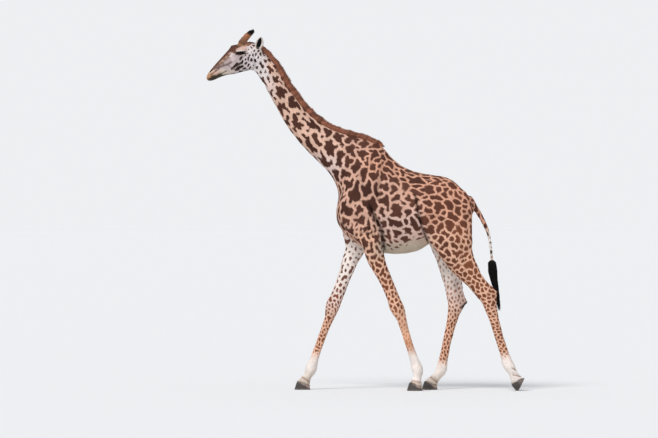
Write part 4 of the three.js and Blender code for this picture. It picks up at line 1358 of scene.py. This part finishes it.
def grow_mane(ground):
    """An upright brush on the crest of the neck, as high as the mane's solid."""
    lines = mane_lines()
    run = np.append(0, np.cumsum(np.linalg.norm(np.diff(lines[0], axis=0), axis=1)))
    dice = np.random.default_rng(31)
    at = dice.uniform(0, run[-1], MANE["locks"])
    count = len(at)
    top, root, way, down = (np.stack([np.interp(at, run, column) for column in rows.T], 1) for rows in lines)
    ending = ramp(at, run[-1] + 0.02, run[-1] - 0.14)
    aside = np.clip(dice.normal(0, 0.5, count), -1, 1)
    wide = MANE["half"] * (0.35 + 0.65 * (ramp(at, -0.02, 0.12) * ending)) * aside
    tall = np.clip(((top - root) * way).sum(1), *MANE["tall"])
    tall *= dice.uniform(0.82, 1.04, count) * (1 - 0.22 * aside ** 2) + 0.06 * wobble(root, 0.05, 17, 12)
    tall *= 0.45 + 0.55 * np.minimum(ramp(at, -0.03, 0.035), ending)
    sway = dice.normal(0, 0.07, (count, 2)) * tall[:, None]
    clump = root + np.stack([0 * wide, wide, 0 * wide], 1)
    sway[:, 0] += 0.16 * wobble(clump, 0.030, 71) * tall
    sway[:, 1] += 0.10 * wobble(clump, 0.034, 72) * tall
    spine = []
    for share in (0.0, 0.5, 1.0):
        step = root + way * ((tall + MANE["sunk"]) * share - MANE["sunk"])[:, None]
        step += down * (MANE["lean"] * share ** 2 + sway[:, 0] * share)[:, None]
        step[:, 1] += wide * (1 + 0.35 * share) + sway[:, 1] * share
        spine.append(step)
    thick = MANE["thick"] * dice.uniform(0.7, 1.3, count)[:, None] * np.array((1.0, 0.85))
    marks = ground.nearest(clump)
    tones = toned("mane", count, dice, 0.10) * (1 + 0.10 * wobble(clump, 0.025, 73))[:, None]
    inks = np.sort(np.concatenate([marks["inks_a"], marks["inks_b"]], 1), axis=1)
    depth = (inks[:, 1] - inks[:, 0] - marks["gap"]) / 2  # inside a dark patch of the neck
    tones = tones * (1 - 0.4 * ramp(depth, -0.004, 0.012)[:, None])
    locks("mane_hair", np.stack(spine, 1), thick, marks["sheet"], tones, (0, 1, 0.01), "mane", "mane")


SWITCH = {"locks": 1200, "knots": 9, "thick": 0.0024, "wave": 0.010, "turns": 13}
SWITCH_LINE = np.array([  # x, z and how far the hair spreads
    (1.346, 1.379, 0.013), (1.347, 1.354, 0.040), (1.352, 1.262, 0.045), (1.364, 1.180, 0.034),
    (1.386, 1.090, 0.024), (1.404, 1.000, 0.014), (1.416, 0.905, 0.010), (1.424, 0.838, 0.006),
])


def grow_switch(ground):
    """The long black brush at the tail's end."""
    dice = np.random.default_rng(41)
    count, knots = SWITCH["locks"], SWITCH["knots"]
    start = dice.uniform(0, 0.05, count)
    end = np.clip(dice.normal(0.70, 0.17, count), 0.35, 1.0)
    share = start[:, None] + (end - start)[:, None] * np.linspace(0, 1, knots)
    at = np.linspace(0, 1, len(SWITCH_LINE))
    x, z, wide = (np.interp(share, at, column) for column in SWITCH_LINE.T)
    angle = dice.uniform(0, 2 * math.pi, count)[:, None] + 0.9 * dice.normal(size=(count, 1)) * share
    reach = np.sqrt(dice.uniform(0.02, 1, count))[:, None] * wide
    wave = SWITCH["wave"] * share + 0.003
    wave *= np.sin(share * SWITCH["turns"] + dice.uniform(0, 6.28, count)[:, None])
    low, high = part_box("tail_switch")
    y = (low.y + high.y) / 2
    spine = np.stack([x + reach * np.cos(angle) + wave, y + reach * np.sin(angle), z], 2)
    thick = SWITCH["thick"] * dice.uniform(0.7, 1.4, count)[:, None] * np.linspace(0.8, 0.35, knots - 1)
    sheet = ground.nearest([(1.348, y, 1.372)])["sheet"].repeat(count, 0)
    tones = 0.45 * toned("jet", count, dice, 0.25)
    locks("tail_brush", spine, thick, sheet, tones, (0, 1, 0.01), "tail_hair", "tail_switch")


LASHES = {"up": (150, 0.033, 0.30, -0.75), "down": (70, 0.013, -0.15, -0.35)}  # number, length, tilt, droop
LASH_THICK, LASH_LIFT = 0.0009, 0.0008  # the lift is from the eyeball's surface


def grow_lashes(ground):
    dice = np.random.default_rng(61)
    spines = []
    for word, side in SIDES.items():
        for lid, (number, length, tilt, droop) in LASHES.items():
            along = np.linspace(-0.92, 0.92, number) * LID_OPEN["long"] + dice.normal(0, 0.02, number)
            arch, upper, lower = lid_lines(along)
            rise = upper if lid == "up" else lower
            spoke = unit(np.stack([np.tan(along), np.full(number, side), np.tan(rise)], 1))
            root = np.array(EYE[word]) + spoke * (EYE_RADIUS + LASH_LIFT)
            out = unit(spoke * 0.6 + np.array([0, side * 0.55, 0]) + np.array([0, 0, tilt]))
            hang = np.array([-0.10, 0, droop])
            long = length * dice.uniform(0.7, 1.15, (number, 1)) * (0.55 + 0.45 * arch[:, None])
            spines.append(np.stack([root + (out * share + hang * share ** 2) * long
                                    for share in (0.0, 0.33, 0.67, 1.0)], 1))
    spine = np.concatenate(spines)
    thick = LASH_THICK * dice.uniform(0.8, 1.3, len(spine))[:, None] * np.array((1.0, 0.9, 0.6))
    sheet = ground.nearest(spine[:, 0])["sheet"]
    locks("eyelashes", spine, thick, sheet, toned("jet", len(spine), dice, 0.1), (1, 0.01, 0), "tail_hair")


# ---- Horns ----
HORN_SPACE = 0.0036  # between tufts
CROWN_LIE = (0.45, 0, 0.1)  # which way the tufts lean at the crown


def make_horn(word, side):
    """A horn's hide, and the short hair on it, which stands up as a tuft round the crown."""
    mesh = remeshed([f"horn_{word}"], HORN_CELL, -COAT_DEPTH / 2)
    softened(mesh, 1.0, 10)
    high, axis = horn_up(places(mesh), side)
    slim = 1 - 0.16 * ramp(high, HORN_CUT + 0.16, HORN_CUT + 0.02) - 0.10 * ramp(high, 0.66, 0.9)
    set_places(mesh, axis + (places(mesh) - axis) * slim[:, None])
    marks = plain_marks(horn_tones(places(mesh), side))
    paint_vertices(mesh, marks)
    horn = piece_of(f"horn_skin_{word}", mesh, HIDE, "horn", f"horn_{word}")
    unwrap(horn)

    up = unit(on_side(HORN_TIP, side) - on_side(HORN_FOOT, side))
    high, _ = horn_up(places(mesh), side)
    lie = unit(up + np.array(CROWN_LIE) * ramp(high, 0.7, 0.95)[:, None])
    facing = normals(mesh)
    lie = unit(lie - (facing * lie).sum(1)[:, None] * facing * 0.9)
    dice = np.random.default_rng(51)
    ground = Ground(horn, {**marks, "lie": lie})
    root = ground.rooted(np.ones(len(ground.area), bool), HORN_SPACE, dice)
    high, _ = horn_up(root["place"], side)
    brush = ramp(high, 0.68, 0.84)
    rear = ramp(root["up"][:, 0], -0.2, 0.8)
    crown = ramp(high, 0.86, 0.98)
    length = 0.0085 + 0.006 * brush + 0.012 * brush * rear + 0.006 * crown * (0.3 + rear)
    lift = 0.0008 + 0.0018 * brush + 0.002 * crown * rear
    name = f"horn_hair_{word}"
    piece_of(name, tufts(name, root, length, 0.0024 + 0.0008 * brush, lift, dice), COAT_HAIR, "horn")


# ---- Eyes ----
PUPIL = (0.0105, 0.0055)  # half its width and half its height


def eye_material():
    """Very dark brown, with the long level pupil of a browsing animal."""
    recipe = recipe_for("eye_wet")
    x, _, z = recipe.parts(recipe.place())
    x = recipe.math("MULTIPLY", recipe.math("SUBTRACT", x, EYE["left"].x), 1 / PUPIL[0])
    z = recipe.math("MULTIPLY", recipe.math("SUBTRACT", z, EYE["left"].z), 1 / PUPIL[1])
    far = recipe.math("ADD", recipe.math("MULTIPLY", x, x), recipe.math("MULTIPLY", z, z))
    iris = recipe.mix(recipe.noise(900), (0.010, 0.005, 0.003, 1), (0.026, 0.012, 0.007, 1))
    iris = recipe.mix(recipe.ramp(far, 5.2, 8.0), iris, (0.006, 0.004, 0.004, 1))
    colour = recipe.mix(recipe.ramp(far, 0.8, 1.3), (0.002, 0.002, 0.003, 1), iris)
    return recipe.finish(colour, recipe.uneven(60, 0.04, 0.08), Specular_IOR_Level=0.25)


def make_eyes():
    material = eye_material()
    for word, side in SIDES.items():
        ball = bmesh.new()
        bmesh.ops.create_uvsphere(ball, u_segments=40, v_segments=28, radius=EYE_RADIUS)
        bmesh.ops.rotate(ball, verts=ball.verts, matrix=Matrix.Rotation(math.radians(90), 3, "X"))
        bulge = Vector((0, side, 0))
        for vert in ball.verts:
            vert.co += bulge * (0.0025 * max(vert.co.normalized().dot(bulge), 0) ** 6)
        bmesh.ops.translate(ball, verts=ball.verts, vec=EYE[word])
        name = f"eyeball_{word}"
        piece_of(name, as_ordered_mesh(ball, name), material, "eye", f"eye_{word}")


# ---- Hooves ----
def hoof_material():
    """Dark horn with growth rings and fine fibres, pale skin at the heel, and dust at the ground."""
    recipe = recipe_for("hoof_horn")
    where = recipe.place()

    def drawn_out(scale, detail):
        stretched = recipe.node("ShaderNodeMapping", {}, Vector=where, Scale=scale).outputs[0]
        return recipe.noise(1.0, detail, where=stretched)

    rings, fibres = drawn_out((9, 9, 260), 2.0), drawn_out((700, 700, 24), 3.0)
    _, _, height = recipe.parts(where)
    horn = recipe.mix(recipe.ramp(rings, 0.35, 0.65), (0.020, 0.017, 0.016, 1), (0.050, 0.042, 0.037, 1))
    worn = recipe.math("MULTIPLY", recipe.ramp(fibres, 0.35, 0.7), 0.4)
    horn = recipe.mix(worn, horn, (0.085, 0.070, 0.058, 1))
    patchy = recipe.ramp(recipe.noise(90, 4.0), 0.35, 0.65)
    dust = recipe.math("MULTIPLY", recipe.ramp(height, 0.030, 0.002), patchy)
    horn = recipe.mix(dust, horn, (0.16, 0.125, 0.095, 1))
    heel = recipe.mix(recipe.noise(160, 3.0), (0.24, 0.155, 0.125, 1), (0.48, 0.35, 0.295, 1))
    horn = recipe.mix(recipe.attribute("heel"), horn, heel)
    relief = recipe.math("ADD", recipe.math("MULTIPLY", rings, 1.5), fibres)
    return recipe.finish(horn, recipe.ramp(fibres, 0.3, 0.7, 0.42, 0.68),
                         Normal=recipe.bump(relief, 0.0012, 0.6))


HEEL_SKIN = {"hindleg_left": 0.25}  # how much pale skin the heel shows: less on the foot that is on tiptoe
FULL_HEEL_SKIN = 0.9
SOLE = 0.003  # vertices lower than this belong to the flat sole


def make_hooves():
    material = hoof_material()
    for leg, toe in [(leg, toe) for leg in LEGS for toe in ("inner", "outer")]:
        node = f"hoof_{leg}_{toe}"
        mesh = remeshed([node], HOOF_CELL, 0.0)
        sole = places(mesh)[:, 2] < SOLE
        softened(mesh, np.where(sole, 0.25, 1.0), 26)
        points = places(mesh)
        points[:, 2] = np.where(sole, 0, np.maximum(points[:, 2], 0))
        set_places(mesh, points)
        low, high = points.min(0), points.max(0)
        back = (points[:, 0] - low[0]) / (high[0] - low[0]) + 0.06 * wobble(points, 0.03, 8)
        upper = points[:, 2] / high[2]
        bulb = ramp(back + 0.75 * upper, 0.92, 1.16) * ramp(upper, 0.03, 0.25)
        paint_vertices(mesh, {"heel": HEEL_SKIN.get(leg, FULL_HEEL_SKIN) * bulb})
        piece_of(f"toe_{leg}_{toe}", mesh, material, "hoof", node)


unwrap(skin)
owner = which_node(places(skin_mesh))
ground = Ground(skin, {**marks, "lie": lie_of_coat(skin_mesh, owner)})
grow_coat(ground, owner[ground.corners[:, 0]])
grow_mane(ground)
grow_switch(ground)
grow_lashes(ground)
for word, side in SIDES.items():
    make_horn(word, side)
make_eyes()
make_hooves()


# ---- Studio ----
FLOOR_SIZE = 3000  # so wide that its edge is as good as the horizon
WORLD_LIGHT = 0.58
BACKDROP = (0.854, 0.867, 0.890, 1)
CAMERA_AT, CAMERA_AIM = Vector((-0.384, -45.0, 1.858)), Vector((-0.384, 0.0, 1.816))


def add_aimed(name, thing, way):
    """A light or camera that looks along the given way."""
    made = add_object(name, thing)
    made.rotation_euler = way.to_track_quat("-Z", "Y").to_euler()
    return made


def build_studio():
    scene = bpy.context.scene
    floor = bmesh.new()
    bmesh.ops.create_grid(floor, x_segments=1, y_segments=1, size=FLOOR_SIZE)
    floor = add_object("floor", as_mesh(floor, "floor"))
    recipe = recipe_for("studio_floor")
    speckle = recipe.mix(recipe.noise(6.0), (0.80, 0.80, 0.80, 1), (0.82, 0.82, 0.82, 1))
    floor.data.materials.append(recipe.finish(speckle, 0.9))

    world = Recipe(bpy.data.worlds.new("studio"))
    scene.world = world.holder
    light = world.tree.nodes["Background"]
    world.feed([(light.inputs["Color"], (0.92, 0.95, 1.0, 1)), (light.inputs["Strength"], WORLD_LIGHT)])
    backdrop = world.node("ShaderNodeBackground", {}, BACKDROP).outputs[0]
    path = world.node("ShaderNodeLightPath", {}).outputs
    seen = 0.0  # the backdrop shows in what the camera sees and in reflections, and gives no light
    for ray in ("Is Camera Ray", "Is Glossy Ray", "Is Transmission Ray"):
        seen = world.math("MAXIMUM", path[ray], seen)
    mix = world.node("ShaderNodeMixShader", {}, seen, light.outputs[0], backdrop).outputs[0]
    world.feed([(world.tree.nodes["World Output"].inputs["Surface"], mix)])

    key = bpy.data.lights.new("key", "SUN")
    key.energy = 2.1
    key.angle = math.radians(25)
    add_aimed("key", key, Vector((0.45, 0.75, -1.0)))

    camera = bpy.data.cameras.new("camera")
    camera.lens = 232
    camera.sensor_width = 36
    camera.clip_end = 500
    scene.camera = add_aimed("camera", camera, CAMERA_AIM - CAMERA_AT)
    scene.camera.location = CAMERA_AT
    scene.view_settings.view_transform = "Standard"


build_studio()
